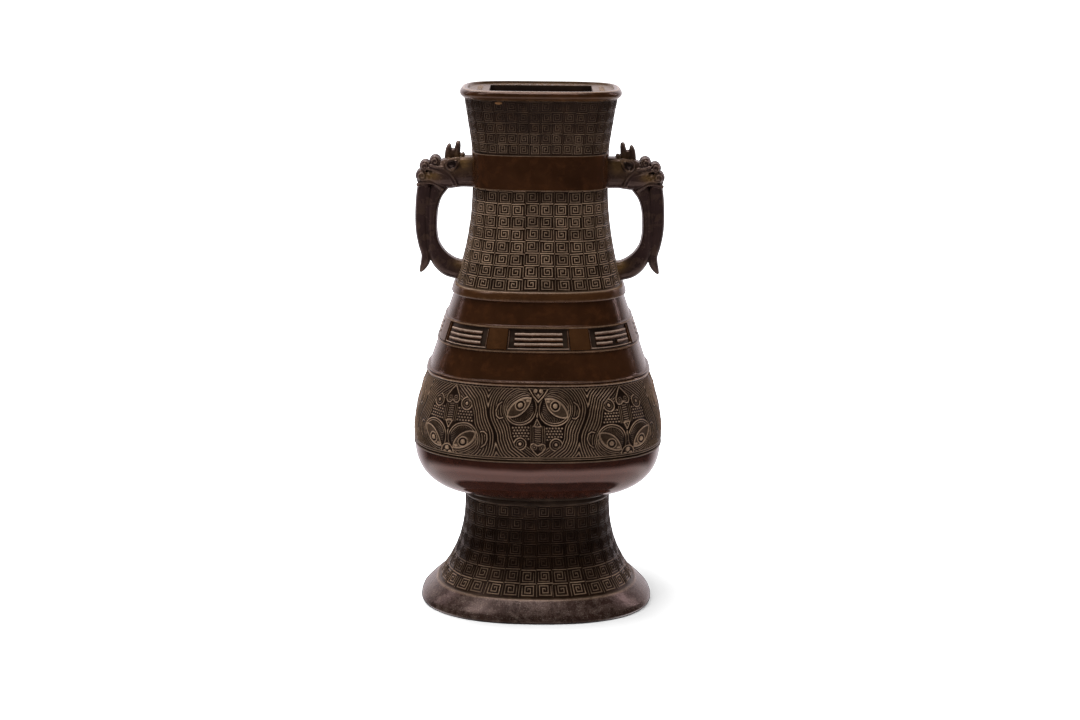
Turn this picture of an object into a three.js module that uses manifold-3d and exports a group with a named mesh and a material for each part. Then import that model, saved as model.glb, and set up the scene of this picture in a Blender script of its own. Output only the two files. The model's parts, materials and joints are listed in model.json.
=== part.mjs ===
// An archaistic bronze vase: a hollow pear-shaped vessel of cushion section on a flared hollow foot, with a
// beast-head handle brazed to each side of its neck.
// Millimetres, +Z up, the front faces -Y, and the origin is on the ground under the middle of the foot.
import * as THREE from "three";
import { mergeVertices } from "three/addons/utils/BufferGeometryUtils.js";
import Module from "manifold-3d";

const wasm = await Module();
wasm.setup();

// Side profile, from the ground up. Each zone has its height and its half widths towards the handles.
const FOOT_RING = { height: 13.7, ground: 72.8, widest: 74.3, top: 64.3 };
const FOOT_FLARE = { height: 57, bottom: 62.8, top: 45.8, curve: 2.6 };
const MOULDINGS = { height: 6.6, lower: 47, upper: 49 };
const UNDERSIDE = { height: 28.3, inner: 50.5, outer: 78, roundUp: 2.2, roundDown: 0.5 };
const FRIEZE = { height: 47, widest: 78.6, widestAt: 4.5, arcRadius: 92 };
const BEAD = { height: 3, proud: 1.1 };
const SHOULDER = { lowerHeight: 16.5, upperHeight: 14.3, bottom: 68.6, top: 52.7 };
const RIB_BAND = { height: 16, proud: 0.9 };
const LEDGE = { height: 5.9, proud: 1.6 };
const NECK = { height: 61, bottom: 51.6, top: 41.6, curve: 1.95 };
const COLLAR = { height: 21.5, halfWidth: 42.6 };
const THROAT = { height: 33.5, bottom: 41.9, top: 46.9, curve: 1.25 };
const LIP = { height: 5.7, widest: 49.7, crown: 46.4, seat: 44.4, seatDrop: 0.7 };
const MOUTH = { halfWidth: 31.6, halfDepth: 24.8, flange: 4.6 };

// The section is a superellipse, flatter in the sides and tighter in the corners towards the lip.
const DEPTH_RATIO = 0.8;
const SQUARENESS = { foot: 2.4, belly: 2.5, ledge: 2.75, collar: 3.3, lip: 3.7 };

// Walls of the casting.
const WALL = 3.5;
const FOOT_WALL = 3.5;
const FOOT_LAND = 6;
const FLOOR = { thickness: 5, ceilingBelowMouldings: 2 };

// Facets round the section, in each quarter of it.
const QUARTER_FACETS = 7;
const FACETS = 4 * QUARTER_FACETS;

// Carving stands proud of the surface it is on and is rooted below it.
const ROOT = 1.3;
const PANELS = { recess: 1, border: 2, faceHalf: 19, sideHalf: 14, block: 12 };
const BARS = { count: 3, width: 2.1, height: 1.1, margin: 4.4 };
const MASKS = { count: 8, width: 56, height: 47, relief: 0.8, line: 1.5 };
const MASK_GRID = { wide: 56, high: 47 };

// Handles. The reach is from the collar's face to the tongue, and the fall from the arm's middle to its tip.
const HANDLE = { reach: 35, fall: 65, armBelowCollar: 2.4 };
const HANDLE_HALF_DEPTH = { strap: 5.6, arm: 7.2, head: 7.6 };
const HANDLE_GRID = { wide: 35, high: 65 };
const FIT_GAP = 0.3;

// Levels where the zones meet.
const LEVEL = {};
LEVEL.ring = FOOT_RING.height;
LEVEL.flare = LEVEL.ring + FOOT_FLARE.height;
LEVEL.mouldings = LEVEL.flare + MOULDINGS.height;
LEVEL.underside = LEVEL.mouldings + UNDERSIDE.height;
LEVEL.frieze = LEVEL.underside + FRIEZE.height;
LEVEL.bead = LEVEL.frieze + BEAD.height;
LEVEL.lowerShoulder = LEVEL.bead + SHOULDER.lowerHeight;
LEVEL.ribs = LEVEL.lowerShoulder + RIB_BAND.height;
LEVEL.upperShoulder = LEVEL.ribs + SHOULDER.upperHeight;
LEVEL.ledge = LEVEL.upperShoulder + LEDGE.height;
LEVEL.neck = LEVEL.ledge + NECK.height;
LEVEL.collar = LEVEL.neck + COLLAR.height;
LEVEL.throat = LEVEL.collar + THROAT.height;
LEVEL.top = LEVEL.throat + LIP.height;

const mix = (a, b, t) => a + (b - a) * t;
const share = (z, from, to) => THREE.MathUtils.clamp((z - from) / (to - from), 0, 1);

// Half widths of the zones, where t runs from a zone's bottom to its top and z is a height.
const flareHalf = (t) => mix(FOOT_FLARE.top, FOOT_FLARE.bottom, (1 - t) ** FOOT_FLARE.curve);
const mouldingHalf = (z) => mix(MOULDINGS.lower, MOULDINGS.upper, share(z, LEVEL.flare, LEVEL.mouldings));
const roundness = (t) => (1 - (1 - t) ** UNDERSIDE.roundUp) ** UNDERSIDE.roundDown;
const undersideHalf = (t) => mix(UNDERSIDE.inner, UNDERSIDE.outer, roundness(t));
const fromWidest = (z) => z - LEVEL.underside - FRIEZE.widestAt;
const friezeHalf = (z) => FRIEZE.widest - fromWidest(z) ** 2 / (2 * FRIEZE.arcRadius);
const shoulderHalf = (z) => mix(SHOULDER.bottom, SHOULDER.top, share(z, LEVEL.bead, LEVEL.upperShoulder));
const neckHalf = (t) => mix(NECK.top, NECK.bottom, (1 - t) ** NECK.curve);
const throatHalf = (t) => mix(THROAT.bottom, THROAT.top, t ** THROAT.curve);

// The vessel's smooth outer half width at a height, without its small steps and mouldings.
function bodyHalf(z) {
  if (z < LEVEL.ring) return mix(FOOT_RING.widest, FOOT_RING.top, share(z, 0, LEVEL.ring));
  if (z < LEVEL.flare) return flareHalf(share(z, LEVEL.ring, LEVEL.flare));
  if (z < LEVEL.mouldings) return mouldingHalf(z);
  if (z < LEVEL.underside) return undersideHalf(share(z, LEVEL.mouldings, LEVEL.underside));
  if (z < LEVEL.frieze) return friezeHalf(z);
  if (z < LEVEL.upperShoulder) return shoulderHalf(z);
  if (z < LEVEL.neck) return neckHalf(share(z, LEVEL.ledge, LEVEL.neck));
  if (z < LEVEL.collar) return COLLAR.halfWidth;
  return throatHalf(share(z, LEVEL.collar, LEVEL.throat));
}

// How square the section is at a height.
function squareness(z) {
  const stops = [
    [0, SQUARENESS.foot],
    [LEVEL.underside, SQUARENESS.belly],
    [LEVEL.ledge, SQUARENESS.ledge],
    [LEVEL.neck, SQUARENESS.collar],
    [LEVEL.top, SQUARENESS.lip],
  ];
  const above = Math.max(1, stops.findIndex(([level]) => level >= z));
  const [low, high] = [stops[above - 1], stops[above]];
  return mix(low[1], high[1], share(z, low[0], high[0]));
}

// A quarter of the section from the front to the right side, as points with the length run so far.
function quarter(halfWidth, halfDepth, power) {
  const steps = 96;
  const points = [];
  let run = 0;
  for (let i = 0; i <= steps; i++) {
    const angle = (i / steps) * (Math.PI / 2);
    const x = halfWidth * Math.sin(angle) ** (2 / power);
    const y = -halfDepth * Math.max(0, Math.cos(angle)) ** (2 / power);
    if (i > 0) run += Math.hypot(x - points[i - 1].x, y - points[i - 1].y);
    points.push({ x, y, run });
  }
  return points;
}

// The point at a share of the way round a section, from the front centre towards the right side.
function sectionPoint(points, turn) {
  const round = (((turn % 1) + 1) % 1) * 4;
  const corner = Math.floor(round);
  const along = corner % 2 ? 1 - (round - corner) : round - corner;
  const target = along * points.at(-1).run;
  const next = Math.max(1, points.findIndex((p) => p.run >= target - 1e-9));
  const [p, q] = [points[next - 1], points[next]];
  const t = (target - p.run) / (q.run - p.run);
  const [x, y] = [mix(p.x, q.x, t), mix(p.y, q.y, t)];
  return [corner < 2 ? x : -x, corner === 0 || corner === 3 ? y : -y];
}

const ring = (z, half, power = squareness(z), depth = half * DEPTH_RATIO) => ({ z, half, depth, power });

// Rings up the outside, from the foot's ground edge to the lip's seat.
function outerRings() {
  const zone = (from, to, shares, half) => shares.map((t) => ring(mix(from, to, t), half(t)));
  const step = 0.2;
  const moulding = MOULDINGS.height / 2;
  const proudShoulder = (z, proud) => ring(z, shoulderHalf(z) + proud);
  return [
    ring(0, FOOT_RING.ground),
    ring(0.11 * FOOT_RING.height, FOOT_RING.widest),
    ring(0.6 * FOOT_RING.height, mix(FOOT_RING.top, FOOT_RING.widest, 0.62)),
    ring(LEVEL.ring, FOOT_RING.top),
    ...zone(LEVEL.ring + step, LEVEL.flare, [0, 0.1, 0.26, 0.52, 1], flareHalf),
    ring(LEVEL.flare + step, MOULDINGS.lower),
    ring(LEVEL.flare + moulding, MOULDINGS.lower),
    ring(LEVEL.flare + moulding + step, MOULDINGS.upper),
    ring(LEVEL.mouldings - step, MOULDINGS.upper),
    ...zone(LEVEL.mouldings, LEVEL.underside, [0, 0.08, 0.25, 0.5, 1], undersideHalf),
    ...[step, 14, 30, FRIEZE.height].map((h) => ring(LEVEL.underside + h, friezeHalf(LEVEL.underside + h))),
    proudShoulder(LEVEL.frieze + step, BEAD.proud + 0.8),
    proudShoulder(LEVEL.bead - step, BEAD.proud),
    proudShoulder(LEVEL.bead, 0),
    proudShoulder(LEVEL.lowerShoulder, 0),
    proudShoulder(LEVEL.lowerShoulder + step, RIB_BAND.proud),
    proudShoulder(LEVEL.ribs - step, RIB_BAND.proud),
    proudShoulder(LEVEL.ribs, 0),
    proudShoulder(LEVEL.upperShoulder - step, 0),
    ring(LEVEL.upperShoulder, SHOULDER.top + LEDGE.proud),
    ring(LEVEL.ledge - step, NECK.bottom + LEDGE.proud / 2),
    ...zone(LEVEL.ledge, LEVEL.neck, [0, 0.13, 0.3, 0.55, 1], neckHalf),
    ring(LEVEL.neck + step, COLLAR.halfWidth),
    ring(LEVEL.collar - step, COLLAR.halfWidth),
    ...zone(LEVEL.collar, LEVEL.throat, [0, 0.35, 0.7, 1], throatHalf),
    ring(mix(LEVEL.throat, LEVEL.top, 0.15), mix(THROAT.top, LIP.widest, 0.75)),
    ring(mix(LEVEL.throat, LEVEL.top, 0.55), LIP.widest),
    ring(mix(LEVEL.throat, LEVEL.top, 0.9), mix(LIP.crown, LIP.widest, 0.6)),
    ring(LEVEL.top, LIP.crown),
    ring(LEVEL.top, LIP.seat + LIP.seatDrop),
    ring(LEVEL.top - LIP.seatDrop, LIP.seat),
  ];
}

// A ring inside the wall. The wall is measured square to the surface, so a flatter slope is cut back further.
function insideRing(z, wall) {
  const reach = 0.5;
  const slope = (bodyHalf(z + reach) - bodyHalf(z - reach)) / (2 * reach);
  const inset = wall * Math.min(2.6, Math.hypot(1, slope));
  const half = bodyHalf(z);
  return ring(z, half - inset, squareness(z), half * DEPTH_RATIO - inset);
}

const footCeiling = LEVEL.mouldings - FLOOR.ceilingBelowMouldings;

// The cavity from its floor up to the underside of the mouth's flange.
function cavityRings() {
  const floor = footCeiling + FLOOR.thickness;
  const levels = [
    ...[0.25, 0.5, 1].map((t) => mix(LEVEL.mouldings, LEVEL.underside, t)),
    mix(LEVEL.underside, LEVEL.frieze, 0.5),
    LEVEL.frieze,
    LEVEL.lowerShoulder,
    LEVEL.upperShoulder,
    ...[0.15, 0.45].map((t) => mix(LEVEL.ledge, LEVEL.neck, t)),
    LEVEL.neck,
    LEVEL.collar,
  ];
  const roof = LEVEL.top - LIP.seatDrop - MOUTH.flange;
  return [
    { z: floor, half: 0 },
    ...[floor, ...levels, roof].map((z) => insideRing(z, WALL)),
    { z: roof, half: 0 },
  ];
}

// The hollow under the vessel, from its ceiling down to the inner edge of the foot's land.
function footHollowRings() {
  const landRing = (z, inset) => {
    return ring(z, FOOT_RING.ground - inset, SQUARENESS.foot, FOOT_RING.ground * DEPTH_RATIO - inset);
  };
  return [
    { z: footCeiling, half: 0 },
    { ...insideRing(LEVEL.flare - 1, FOOT_WALL), z: footCeiling },
    ...[0.6, 0.36, 0.19, 0.06].map((t) => insideRing(mix(LEVEL.ring, LEVEL.flare, t), FOOT_WALL)),
    landRing(FOOT_RING.height / 2, FOOT_LAND + 1),
    landRing(0, FOOT_LAND),
  ];
}

// A closed skin through rings. The first and last are single points on the axis.
function loftGeometry(rings, grow = 0) {
  const positions = [];
  const index = [];
  const starts = rings.map((r) => {
    const start = positions.length / 3;
    if (r.half === 0) {
      positions.push(0, 0, r.z);
      return start;
    }
    const points = quarter(r.half + grow, r.depth + grow, r.power);
    for (let j = 0; j < FACETS; j++) positions.push(...sectionPoint(points, j / FACETS), r.z);
    return start;
  });
  for (let i = 0; i < rings.length - 1; i++) {
    for (let j = 0; j < FACETS; j++) {
      const k = (j + 1) % FACETS;
      const [a, b, c, d] = [starts[i] + j, starts[i] + k, starts[i + 1] + k, starts[i + 1] + j];
      if (rings[i].half === 0) index.push(starts[i], c, d);
      else if (rings[i + 1].half === 0) index.push(a, b, starts[i + 1]);
      else index.push(a, b, c, a, c, d);
    }
  }
  return indexedGeometry(positions, index);
}

function indexedGeometry(positions, index) {
  const geometry = new THREE.BufferGeometry();
  geometry.setAttribute("position", new THREE.Float32BufferAttribute(positions, 3));
  geometry.setIndex(index);
  return geometry;
}

// A three.js geometry as a solid that can be joined and cut, and back.
function solidOf(geometry) {
  const plain = geometry.clone();
  for (const name of Object.keys(plain.attributes)) if (name !== "position") plain.deleteAttribute(name);
  const merged = mergeVertices(plain, 1e-4);
  const vertProperties = new Float32Array(merged.getAttribute("position").array);
  const triVerts = new Uint32Array(merged.index.array);
  return new wasm.Manifold(new wasm.Mesh({ numProp: 3, vertProperties, triVerts }));
}

function geometryOf(solid) {
  const { vertProperties, triVerts } = solid.getMesh();
  return indexedGeometry(Array.from(vertProperties), Array.from(triVerts));
}

const joined = (solids) => solids.reduce((all, solid) => all.add(solid));

// A point on the vessel's outer surface, where turn is the share of the way round, lifted along the normal.
function surfacePoint(turn, z, lift) {
  const at = (t, level) => {
    const half = bodyHalf(level);
    return new THREE.Vector3(...sectionPoint(quarter(half, half * DEPTH_RATIO, squareness(level)), t), level);
  };
  const point = at(turn, z);
  const round = at(turn + 0.002, z).sub(at(turn - 0.002, z));
  const up = at(turn, z + 0.4).sub(at(turn, z - 0.4));
  return point.addScaledVector(round.cross(up).normalize(), lift);
}

// Maps a drawing in millimetres on to the vessel, with x round from a middle turn and y up from a height.
function drawingOn(middleTurn, middleHeight) {
  const half = bodyHalf(middleHeight);
  const girth = 4 * quarter(half, half * DEPTH_RATIO, squareness(middleHeight)).at(-1).run;
  return (x, y, lift) => surfacePoint(middleTurn + x / girth, middleHeight + y, lift);
}

// A bar along a path of [x, y] points in a drawing, between two lifts from the surface.
function barAlong(place, path, bottom, top) {
  const profile = [
    [0.5 * bottom.width, bottom.lift],
    [0.5 * top.width, top.lift],
    [-0.5 * top.width, top.lift],
    [-0.5 * bottom.width, bottom.lift],
  ];
  const positions = [];
  path.forEach(([x, y], i) => {
    const before = path[Math.max(0, i - 1)];
    const after = path[Math.min(path.length - 1, i + 1)];
    const along = new THREE.Vector2(after[0] - before[0], after[1] - before[1]).normalize();
    for (const [side, lift] of profile) {
      positions.push(...place(x + along.y * side, y - along.x * side, lift));
    }
  });
  const index = [];
  for (let i = 0; i < path.length - 1; i++) {
    const [p, q] = [4 * i, 4 * (i + 1)];
    for (let k = 0; k < 4; k++) {
      const m = (k + 1) % 4;
      index.push(p + k, q + k, q + m, p + k, q + m, p + m);
    }
  }
  const last = 4 * (path.length - 1);
  index.push(0, 1, 2, 0, 2, 3, last, last + 2, last + 1, last, last + 3, last + 2);
  return solidOf(indexedGeometry(positions, index));
}

// A raised line with sloping sides and a flat top, rooted in the surface.
function raisedLine(place, path, width, height) {
  const foot = { width: width + 0.7 * height, lift: -ROOT };
  return barAlong(place, path, foot, { width: 0.64 * width, lift: height });
}

// A low flat-topped boss over a closed outline of [x, y] points in a drawing, anticlockwise.
function raisedPatch(place, outline, height, topShare = 0.8) {
  const count = outline.length;
  const middle = outline.reduce((m, [x, y]) => [m[0] + x / count, m[1] + y / count], [0, 0]);
  const positions = [];
  for (const [scale, lift] of [[1, -ROOT], [topShare, height]]) {
    for (const [x, y] of outline) {
      positions.push(...place(mix(middle[0], x, scale), mix(middle[1], y, scale), lift));
    }
  }
  const caps = THREE.ShapeUtils.triangulateShape(outline.map(([x, y]) => new THREE.Vector2(x, y)), []);
  const index = [];
  for (const [a, b, c] of caps) index.push(count + a, count + b, count + c, a, c, b);
  for (let i = 0; i < count; i++) {
    const j = (i + 1) % count;
    index.push(i, j, count + j, i, count + j, count + i);
  }
  return solidOf(indexedGeometry(positions, index));
}

function ellipse(x, y, halfLong, halfShort, tilt, sides) {
  return Array.from({ length: sides }, (_, i) => {
    const angle = (i / sides) * 2 * Math.PI;
    const [u, v] = [halfLong * Math.cos(angle), halfShort * Math.sin(angle)];
    return [x + u * Math.cos(tilt) - v * Math.sin(tilt), y + u * Math.sin(tilt) + v * Math.cos(tilt)];
  });
}

// The rib band's recessed panels as [turn, half length], at the middle of each face and round each corner.
function ribPanels(girth) {
  const faceEdge = PANELS.faceHalf + PANELS.block;
  const sideEdge = girth / 4 - PANELS.sideHalf - PANELS.block;
  const cornerAt = (faceEdge + sideEdge) / 2 / girth;
  const cornerHalf = (sideEdge - faceEdge) / 2;
  const panels = [];
  for (const middle of [0, 0.5]) {
    panels.push([middle, PANELS.faceHalf], [middle + 0.25, PANELS.sideHalf]);
    panels.push([middle + cornerAt, cornerHalf], [middle - cornerAt, cornerHalf]);
  }
  return panels;
}

// The solids that cut the rib band's panels, and the bars that stand in them.
function ribCarving() {
  const middle = mix(LEVEL.lowerShoulder, LEVEL.ribs, 0.5);
  const half = shoulderHalf(middle);
  const girth = 4 * quarter(half, half * DEPTH_RATIO, squareness(middle)).at(-1).run;
  const inner = RIB_BAND.height - 2 * PANELS.border;
  const floor = RIB_BAND.proud - PANELS.recess;
  const cuts = [];
  const bars = [];
  for (const [turn, halfLength] of ribPanels(girth)) {
    const place = drawingOn(turn, middle);
    const straight = (reach, y) => [-1, 0, 1].map((t) => [t * reach, y]);
    const cutter = [{ width: inner, lift: floor }, { width: inner, lift: 2 * RIB_BAND.proud }];
    cuts.push(barAlong(place, straight(halfLength, 0), ...cutter));
    for (let i = 0; i < BARS.count; i++) {
      const y = inner * ((i + 1) / (BARS.count + 1) - 0.5);
      bars.push(raisedLine(place, straight(halfLength - BARS.margin, y), BARS.width, floor + BARS.height));
    }
  }
  return { cuts, bars };
}

// One mask of the frieze, drawn on a grid that follows its width and height: eyes in petal-shaped sockets
// under a brow boss, a nose, two roundels and a spade leaf. Every second mask stands on its head.
function maskCarving(turn, upright) {
  const place = drawingOn(turn, mix(LEVEL.underside, LEVEL.frieze, 0.5));
  const wide = MASKS.width / MASK_GRID.wide;
  const high = (MASKS.height / MASK_GRID.high) * (upright ? 1 : -1);
  const drawn = (points) => {
    const moved = points.map(([x, y]) => [x * wide, y * high]);
    return upright ? moved : moved.reverse();
  };
  const spade = [[0, -19], [2.6, -14.6], [4.2, -12], [2.6, -10], [-2.6, -10], [-4.2, -12], [-2.6, -14.6]];
  const { relief, line } = MASKS;
  const carving = [
    raisedPatch(place, drawn(ellipse(0, 20, 3.4, 2.3, 0, 6)), relief),
    raisedPatch(place, drawn(spade), relief),
    raisedLine(place, drawn([[0, 1.5], [0, -9]]), 2 * line, relief),
  ];
  for (const hand of [-1, 1]) {
    const socket = ellipse(hand * 12.4, 9.6, 11.8, 9.2, -hand * 0.35, 9);
    const eye = ellipse(hand * 11, 12.2, 4.2, 3, -hand * 0.5, 6);
    const roundel = ellipse(hand * 10.6, -10.2, 3.2, 3.2, 0, 6);
    carving.push(raisedPatch(place, drawn(socket), 0.7 * relief, 0.86));
    carving.push(raisedPatch(place, drawn(eye), 1.6 * relief, 0.6));
    carving.push(raisedPatch(place, drawn(roundel), relief, 0.7));
  }
  return carving;
}

// The rectangular opening through the mouth's flange.
function mouthSolid() {
  const opening = new THREE.BoxGeometry(2 * MOUTH.halfWidth, 2 * MOUTH.halfDepth, 4 * MOUTH.flange);
  return solidOf(opening.translate(0, 0, LEVEL.top - MOUTH.flange));
}

function vesselSolid() {
  const lid = { z: LEVEL.top - LIP.seatDrop, half: 0 };
  const closed = solidOf(loftGeometry([...footHollowRings(), ...outerRings(), lid]));
  const cast = closed.subtract(solidOf(loftGeometry(cavityRings()))).subtract(mouthSolid());
  const ribs = ribCarving();
  const raised = ribs.bars;
  for (let i = 0; i < MASKS.count; i++) raised.push(...maskCarving(i / MASKS.count, i % 2 === 0));
  return cast.subtract(joined(ribs.cuts)).add(joined(raised));
}

// The vessel's outer skin as a full solid, grown by the fit gap, to cut the handles' roots to.
function fittingSolid() {
  const rings = outerRings();
  const [ground, seat] = [rings[0].z, rings.at(-1).z].map((z) => ({ z, half: 0 }));
  return solidOf(loftGeometry([ground, ...rings, seat], FIT_GAP));
}

// A bar swept through stations in the handle's own plane. Each station has its place, its half thickness in
// that plane and its half depth across it, and the section is rounded.
function sweptBar(stations, sides = 6, power = 3) {
  const positions = [];
  stations.forEach((s, i) => {
    const before = stations[Math.max(0, i - 1)];
    const after = stations[Math.min(stations.length - 1, i + 1)];
    const along = new THREE.Vector2(after.x - before.x, after.z - before.z).normalize();
    for (let k = 0; k < sides; k++) {
      const angle = ((k + 0.5) / sides) * 2 * Math.PI;
      const [c, n] = [Math.cos(angle), Math.sin(angle)];
      const across = Math.sign(c) * Math.abs(c) ** (2 / power) * s.half;
      const deep = Math.sign(n) * Math.abs(n) ** (2 / power) * s.depth;
      positions.push(s.x + along.y * across, deep, s.z - along.x * across);
    }
  });
  const index = [];
  const last = stations.length - 1;
  for (let i = 0; i < last; i++) {
    for (let k = 0; k < sides; k++) {
      const m = (k + 1) % sides;
      const [p, q] = [i * sides, (i + 1) * sides];
      index.push(p + k, p + m, q + m, p + k, q + m, q + k);
    }
  }
  for (let k = 1; k < sides - 1; k++) {
    index.push(0, k + 1, k);
    index.push(last * sides, last * sides + k, last * sides + k + 1);
  }
  return solidOf(indexedGeometry(positions, index));
}

// The middle of a handle's arm where it meets the collar.
const ARM_ROOT = { x: COLLAR.halfWidth, z: mix(LEVEL.neck, LEVEL.collar, 0.5) - HANDLE.armBelowCollar };

// Stations from rows of [x, z, half thickness] on the handle's grid and a half depth. x runs out from the
// collar and z up from the arm's middle, and the grid's squares follow the handle's reach and fall.
function stationsFrom(rows) {
  const [wide, high] = [HANDLE.reach / HANDLE_GRID.wide, HANDLE.fall / HANDLE_GRID.high];
  return rows.map(([x, z, half, depth]) => {
    return { x: ARM_ROOT.x + x * wide, z: ARM_ROOT.z + z * high, half: half * wide, depth };
  });
}

// A curl of the mane, as a ball at a place on the grid and a half depth off the middle.
function curl(x, z, radius, across) {
  const [station] = stationsFrom([[x, z, radius, 0]]);
  const geometry = new THREE.SphereGeometry(station.half, 6, 4);
  geometry.translate(station.x, across, station.z);
  return solidOf(geometry);
}

// The head's pieces on one side: curls, antler, ear, lip and cheek folds.
function headSide(hand) {
  const { strap, arm, head } = HANDLE_HALF_DEPTH;
  const thin = arm / 5;
  const placed = (rows, across) => {
    const stations = stationsFrom(rows.map((row) => [...row, thin]));
    return sweptBar(stations, 6, 2).translate(0, hand * across, 0);
  };
  const tallProng = [[11.4, 7.6, 2.6], [9.6, 12.6, 1.7], [8.5, 15, 1.5], [8.3, 18.4, 0.8]];
  const shortProng = [[12.4, 8, 2.4], [13.7, 12.4, 1.5], [13.8, 15.8, 0.6]];
  const ear = [[15.4, 3.2, 1.2], [11, 4.8, 2.8], [7, 8, 0.4]];
  const lip = [[34.2, -8.4, 1], [27.5, -7.7, 1.1], [21.5, -8.4, 1.1], [16.4, -12.4, 1]];
  const cheek = [[16, 0.6, 0.9], [11.6, -3.4, 0.9], [9, -9, 0.9]];
  return [
    curl(23, 6.3, 3.5, hand * 0.6 * head),
    curl(29.6, 3.4, 3.2, hand * 0.45 * head),
    curl(31.9, -3.4, 3.7, hand * 0.5 * head),
    placed(tallProng, 0.36 * arm),
    placed(shortProng, 0.36 * arm),
    placed(ear, arm + 0.2),
    placed(lip, strap + 0.4),
    placed(cheek, head - 0.4),
  ];
}

// The right handle: an arm that ends in a beast's head, with a strap and a pendant tongue out of its mouth.
function handleSolid() {
  const { strap: deep, arm, head } = HANDLE_HALF_DEPTH;
  const armAndHead = [
    [-3, 0, 9.7, arm],
    [7, 0, 9.6, arm],
    [13, -0.6, 9.4, head],
    [18, -1.4, 8.4, head],
    [24, -2, 8, head],
    [29.5, -3.6, 6.4, 0.85 * head],
    [33.6, -5.4, 3.6, 0.6 * head],
  ];
  const strap = [
    [19, -7, 5.2, deep],
    [23.4, -17, 4.1, deep],
    [24.6, -32, 3.4, deep],
    [24.2, -42, 3.6, deep],
    [22, -50.5, 4.4, deep],
    [17.4, -57.4, 5.4, deep],
    [9.8, -62, 6.2, deep],
    [1, -63.4, 6.4, deep],
  ];
  const tongue = [
    [28, -6, 4.4, deep],
    [31, -18, 4.3, deep],
    [31.4, -34, 4.2, deep],
    [29.2, -50, 3.6, 0.95 * deep],
    [28.8, -57.5, 3.4, 0.9 * deep],
    [32.3, -64.8, 0.7, 0.5 * deep],
  ];
  const hanging = [strap, tongue].map((rows) => sweptBar(stationsFrom(rows)));
  const pieces = [sweptBar(stationsFrom(armAndHead), 8), ...hanging, ...headSide(-1), ...headSide(1)];
  return joined(pieces).subtract(fittingSolid());
}

const bronze = (color, roughness) => new THREE.MeshStandardMaterial({ color, roughness, metalness: 0.85 });

function namedMesh(name, solid, material) {
  const mesh = new THREE.Mesh(geometryOf(solid), material);
  mesh.name = name;
  return mesh;
}

const vase = new THREE.Group();
const handle = handleSolid();
vase.add(
  namedMesh("vessel", vesselSolid(), bronze(0x3a2417, 0.38)),
  namedMesh("right_handle", handle, bronze(0x33241b, 0.45)),
  namedMesh("left_handle", handle.mirror([1, 0, 0]), bronze(0x33241b, 0.45)),
);

export default vase;
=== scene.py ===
"""The looks of an archaistic bronze vase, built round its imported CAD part. Drawn in millimetres, made in metres."""

import json
import math

import bpy
import numpy as np
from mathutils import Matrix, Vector

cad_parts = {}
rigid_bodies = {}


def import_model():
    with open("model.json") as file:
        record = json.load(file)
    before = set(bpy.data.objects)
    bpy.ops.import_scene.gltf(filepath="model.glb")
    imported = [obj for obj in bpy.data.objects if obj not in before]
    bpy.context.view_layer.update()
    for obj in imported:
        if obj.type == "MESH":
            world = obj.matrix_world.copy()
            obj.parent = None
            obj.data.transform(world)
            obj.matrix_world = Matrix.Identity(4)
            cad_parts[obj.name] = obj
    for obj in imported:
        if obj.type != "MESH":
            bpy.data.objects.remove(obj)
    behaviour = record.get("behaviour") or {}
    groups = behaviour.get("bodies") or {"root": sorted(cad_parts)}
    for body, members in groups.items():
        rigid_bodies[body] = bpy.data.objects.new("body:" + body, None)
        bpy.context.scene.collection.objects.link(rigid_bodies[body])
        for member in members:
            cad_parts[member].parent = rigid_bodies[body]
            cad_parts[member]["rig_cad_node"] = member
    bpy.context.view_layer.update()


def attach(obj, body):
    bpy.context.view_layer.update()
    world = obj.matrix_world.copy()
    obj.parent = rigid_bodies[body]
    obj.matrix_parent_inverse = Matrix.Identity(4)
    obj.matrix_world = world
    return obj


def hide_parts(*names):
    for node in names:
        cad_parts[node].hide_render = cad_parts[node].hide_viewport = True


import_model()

MM = 0.001
RNG = np.random.default_rng(11)

# Levels where the zones of the vessel meet, and the half widths that shape them, as in the CAD.
RING, FLARE, MOULDINGS, UNDERSIDE, FRIEZE = 13.7, 70.7, 77.3, 105.6, 152.6
BEAD, LOW_SHOULDER, RIBS, HIGH_SHOULDER, LEDGE = 155.6, 172.1, 188.1, 202.4, 208.3
NECK, COLLAR, THROAT, TOP = 269.3, 290.8, 324.3, 330.0
DEPTH_RATIO = 0.8
POWER_STOPS = ([0, UNDERSIDE, LEDGE, NECK, TOP], [2.4, 2.5, 2.75, 3.3, 3.7])
COLLAR_HALF = 42.6


def mix(a, b, t):
    return a + (b - a) * t


def share(z, low, high):
    return np.clip((z - low) / (high - low), 0, 1)


def smooth(t):
    t = np.clip(t, 0, 1)
    return t * t * (3 - 2 * t)


def flare_half(z):
    return mix(45.8, 62.8, (1 - share(z, RING, FLARE)) ** 2.6)


def underside_half(z):
    return mix(50.5, 78.0, (1 - (1 - share(z, MOULDINGS, UNDERSIDE)) ** 2.2) ** 0.5)


def frieze_half(z):
    return 78.6 - (z - UNDERSIDE - 4.5) ** 2 / 184


def shoulder_half(z):
    return mix(68.6, 52.7, (z - BEAD) / (HIGH_SHOULDER - BEAD))


def neck_half(z):
    return mix(41.6, 51.6, (1 - share(z, LEDGE, NECK)) ** 1.95)


def throat_half(z):
    return mix(41.9, 46.9, share(z, COLLAR, THROAT) ** 1.25)


def collar_half(z):
    return COLLAR_HALF + 0 * z


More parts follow.
